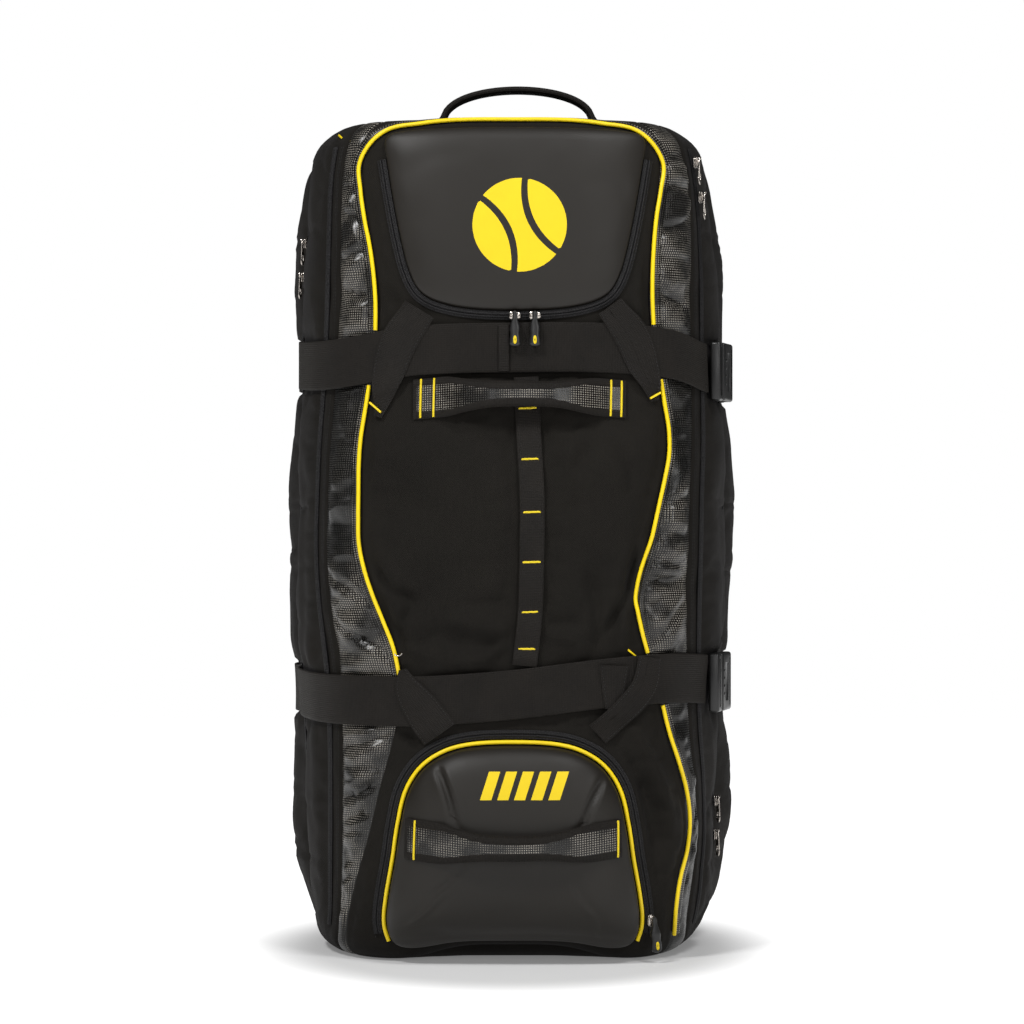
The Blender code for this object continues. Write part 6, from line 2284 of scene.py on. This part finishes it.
def make_stitches(made):
    """Black topstitching beside the zips and seams and along the braces' edges."""
    zips, seams, braces = [], [], []
    for beside in (ZIP_STITCH_ASIDE, -ZIP_STITCH_ASIDE):
        for _, outline, is_open in zip_runs(160, ZIP_MARGIN + beside, POCKET_ZIP_MARGIN + beside):
            zips.append(stitch_row(front, *open_run(outline, is_open).T, LAY_GAP + ZIP_STITCH_LIFT))
    for name in SIDE_ZIPS:
        z = side_zip_heights(name, 0.01, 200, 180)
        t = zip_station(name, z)
        for off in (-SIDE_STITCH_ASIDE, SIDE_STITCH_ASIDE):
            zips.append(stitch_row(wall, t + off / pace_at(t, z), z, SIDE_ZIP_LIFT + ZIP_STITCH_LIFT))
    z = np.linspace(BASE_ROUND + 0.01, HEIGHT - TOP_ROUND, 200)
    for column, side in ((3, -1), (4, 1)):
        t = station_of(seam_x(column, z), z)
        for off in (0.0050, 0.0082):
            seams.append(stitch_row(wall, t + side * off / pace_at(t, z), z, THREAD_LIFT))
    for seam in (-GROOVE_T, GROOVE_T, -CORNER_T, CORNER_T):
        for off in (-0.006, 0.006):
            t = np.full(len(z), seam + off / METRES_A_STATION)
            seams.append(stitch_row(wall, t, z, THREAD_LIFT))
    for path, line, height, low, high in BRACE_PATHS.values():
        for side in (-1, 1):
            edge = side * (path[:, 2:] / 2 - BRACE_STITCH_INSET)
            x, z = (path[:, :2] + leftward(path[:, :2]) * edge).T
            lift = low + high * over_strap(x, z, line, height) + BRACE_THICK + THREAD_LIFT
            braces.append(stitch_row(front, x, z, lift))
    rows = (("zip", zips, "zip_tape"), ("seam", seams, "polyester"), ("brace", braces, "webbing"))
    for name, parts, slot in rows:
        add_piece(name + "_stitches", *join_meshes(parts), made["black_thread"], slot)


def make_stage(kit):
    """A white floor, soft studio lights, and the camera at the photograph's angle."""
    scene = bpy.context.scene
    scene.view_settings.view_transform = "Standard"
    scene.view_settings.look = "None"
    world = bpy.data.worlds.new("studio")
    world.use_nodes = True
    add = partial(add_node, world.node_tree)
    white = (1.0, 1.0, 1.0, 1.0)
    seen, shed = (add("Background", (white, strength)) for strength in (1.0, kit.surround))
    both = add("MixShader", (add("LightPath", out="Is Camera Ray"), shed, seen))
    wire(world.node_tree.nodes["World Output"], {"Surface": both})
    scene.world = world
    edge = np.linspace(-FLOOR_HALF, FLOOR_HALF, 5)
    points = np.stack([*np.meshgrid(edge, edge), np.full((5, 5), -0.0005)], -1).reshape(-1, 3)
    mesh = bpy.data.meshes.new("studio_floor")
    mesh.from_pydata(points.tolist(), [], grid_faces(5, 5))
    mesh.materials.append(painted_floor("painted_floor", linear(FLOOR_HEX)))
    show("studio_floor", mesh)
    lights = (
        # name, place, size, share of the key light's power
        ("key", (-1.3, -1.9, 2.7), 0.6, 1.0),
        ("fill", (1.5, -2.9, 1.3), 0.9, 0.28),
        ("top", (0.9, -1.5, 2.7), 0.7, 0.55),
        ("front", (-0.6, -3.9, 1.2), 0.9, 0.22),
    )
    for name, place, size, share in lights:
        data = bpy.data.lights.new("softbox_" + name, "AREA")
        data.shape = "SQUARE"
        data.size = size
        data.energy = kit.key_light * share
        lamp = show("softbox_" + name, data)
        lamp.location = place
        aim = Vector((0.0, 0.0, 0.42)) - Vector(place)
        lamp.rotation_euler = aim.to_track_quat("-Z", "Y").to_euler()
    camera = bpy.data.cameras.new("camera")
    camera.sensor_width = 36.0
    camera.lens = CAMERA_LENS
    camera.clip_end = 60.0
    eye = show("camera", camera)
    eye.location = (0.0, -FRONT_DEPTH - CAMERA_BACK, CAMERA_HEIGHT)
    eye.rotation_euler = (math.pi / 2, 0.0, 0.0)
    scene.camera = eye


def colour_setting(name, description, hex_colour):
    """A colour in the panel, which starts as a real finish's."""
    return bpy.props.FloatVectorProperty(
        name=name, description=description, subtype="COLOR", size=4, default=linear(hex_colour),
        min=0.0, max=1.0,
    )


def pitch_setting(name, description, pitch):
    """A spacing in the panel, in metres."""
    return bpy.props.FloatProperty(
        name=name, description=description, default=pitch, min=0.0003, max=0.01, unit="LENGTH"
    )


class KitBagSettings(bpy.types.PropertyGroup):
    """Sizes and colours of the bag's dressing."""

    polyester: colour_setting("Polyester", "Colour of the woven cloth", POLYESTER_HEX)
    coated: colour_setting("Coated cloth", "Colour of the lid and the pocket", COATED_HEX)
    mesh_dot: colour_setting("Mesh dots", "Colour of the gussets' raised dots", MESH_DOT_HEX)
    webbing: colour_setting("Webbing", "Colour of the straps and handles", WEBBING_HEX)
    piping: colour_setting("Piping", "Colour of the piping", PIPING_HEX)
    thread: colour_setting("Thread", "Colour of the contrast stitching", THREAD_HEX)
    print_ink: colour_setting("Print", "Colour of the printed shapes", PRINT_HEX)
    weave_pitch: pitch_setting("Weave", "Distance between threads of the cloth", WEAVE_PITCH)
    dot_pitch: pitch_setting("Dots", "Distance between dots of the gussets", DOT_PITCH)
    rib_pitch: pitch_setting("Ribs", "Distance between ribs of the webbing", RIB_PITCH)
    coil_pitch: pitch_setting("Coil", "Distance between turns of the zips", COIL_PITCH)
    fold_depth: bpy.props.FloatProperty(
        name="Fold depth", description="How deep the cloth's folds are, as a share",
        default=1.0, min=0.0, max=2.0, subtype="FACTOR",
    )
    pressure: bpy.props.FloatProperty(
        name="Air pressure", description="Pressure that fills the body's cloth",
        default=BILLOW_PRESSURE, min=0.0, max=20.0,
    )
    growth: bpy.props.FloatProperty(
        name="Slack", description="Share by which the body's cloth is cut too large",
        default=BILLOW_GROWTH, min=0.0, max=0.1, subtype="FACTOR",
    )
    surround: bpy.props.FloatProperty(
        name="Surround", description="Light that the white surround sheds",
        default=0.07, min=0.0, max=5.0,
    )
    key_light: bpy.props.FloatProperty(
        name="Key light", description="Power of the main softbox", default=62.0, min=0.0,
        max=1000.0, unit="POWER",
    )


class KitBagStep(bpy.types.Operator):
    """Makes one group of the bag's pieces"""

    bl_idname = "kit_bag.step"
    bl_label = "Kit bag step"
    bl_options = {"REGISTER", "UNDO"}

    def make(self, kit, made):
        raise NotImplementedError

    def execute(self, context):
        kit = context.scene.kit_bag
        self.make(kit, finishes(kit))
        return {"FINISHED"}


class KITBAG_OT_body(KitBagStep):
    """Sews the body's cloth: front, gussets, sides, rear bands, back, top and base"""

    bl_idname = "kit_bag.body"
    bl_label = "Body cloth"

    def make(self, kit, made):
        brace_paths()
        make_body(kit, made)


class KITBAG_OT_lid(KitBagStep):
    """Makes the padded lid and the shape printed on it"""

    bl_idname = "kit_bag.lid"
    bl_label = "Lid"

    def make(self, kit, made):
        make_pad("lid", lid_outline(240), made["coated"])
        make_emblem(made["print"])


class KITBAG_OT_pocket(KitBagStep):
    """Makes the domed lower pocket and the dashes printed on it"""

    bl_idname = "kit_bag.pocket"
    bl_label = "Lower pocket"

    def make(self, kit, made):
        make_pad("pocket", pocket_outline(300), made["coated"])
        make_dashes(made["print"])


class KITBAG_OT_piping(KitBagStep):
    """Lays the yellow piping and the dotted binding beside it"""

    bl_idname = "kit_bag.piping"
    bl_label = "Piping and binding"

    def make(self, kit, made):
        make_piping(made)


class KITBAG_OT_zips(KitBagStep):
    """Lays the coil zips"""

    bl_idname = "kit_bag.zips"
    bl_label = "Zips"

    def make(self, kit, made):
        make_zips(made)


class KITBAG_OT_straps(KitBagStep):
    """Lays the compression straps, the webbing over them and the pulls' loop"""

    bl_idname = "kit_bag.straps"
    bl_label = "Straps"

    def make(self, kit, made):
        make_straps(made)


class KITBAG_OT_chain(KitBagStep):
    """Sews the daisy chain down the front"""

    bl_idname = "kit_bag.chain"
    bl_label = "Daisy chain"

    def make(self, kit, made):
        make_chain(made)


class KITBAG_OT_handles(KitBagStep):
    """Makes the front, pocket and top handles"""

    bl_idname = "kit_bag.handles"
    bl_label = "Handles"

    def make(self, kit, made):
        make_handles(made)


class KITBAG_OT_buckles(KitBagStep):
    """Moulds the two side-release buckles"""

    bl_idname = "kit_bag.buckles"
    bl_label = "Buckles"

    def make(self, kit, made):
        make_buckles(made)


class KITBAG_OT_sliders(KitBagStep):
    """Casts the zip sliders and hangs their pulls"""

    bl_idname = "kit_bag.sliders"
    bl_label = "Sliders and pulls"

    def make(self, kit, made):
        make_sliders(made)


class KITBAG_OT_stitches(KitBagStep):
    """Sews the rows of topstitching"""

    bl_idname = "kit_bag.stitches"
    bl_label = "Stitching"

    def make(self, kit, made):
        make_stitches(made)


class KITBAG_OT_stage(KitBagStep):
    """Sets up the floor, the lights and the camera"""

    bl_idname = "kit_bag.stage"
    bl_label = "Studio"

    def make(self, kit, made):
        make_stage(kit)


STEPS = (
    KITBAG_OT_body,
    KITBAG_OT_lid,
    KITBAG_OT_pocket,
    KITBAG_OT_piping,
    KITBAG_OT_zips,
    KITBAG_OT_straps,
    KITBAG_OT_chain,
    KITBAG_OT_handles,
    KITBAG_OT_buckles,
    KITBAG_OT_sliders,
    KITBAG_OT_stitches,
    KITBAG_OT_stage,
)


class KITBAG_PT_panel(bpy.types.Panel):
    """Lists the settings and the steps that dress the bag"""

    bl_idname = "KITBAG_PT_panel"
    bl_label = "Kit Bag"
    bl_space_type = "VIEW_3D"
    bl_region_type = "UI"
    bl_category = "Kit Bag"

    def draw(self, context):
        kit = context.scene.kit_bag
        column = self.layout.column()
        for name in KitBagSettings.__annotations__:
            column.prop(kit, name)
        for step in STEPS:
            column.operator(step.bl_idname)


CLASSES = (KitBagSettings, *STEPS, KITBAG_PT_panel)


def register():
    for kind in CLASSES:
        bpy.utils.register_class(kind)
    bpy.types.Scene.kit_bag = bpy.props.PointerProperty(type=KitBagSettings)


def unregister():
    del bpy.types.Scene.kit_bag
    for kind in reversed(CLASSES):
        bpy.utils.unregister_class(kind)


def corners(box):
    return [[float(value) for value in corner] for corner in box]


def main():
    register()
    for step in STEPS:
        group, name = step.bl_idname.split(".")
        getattr(getattr(bpy.ops, group), name)()


if __name__ == "__main__":
    main()
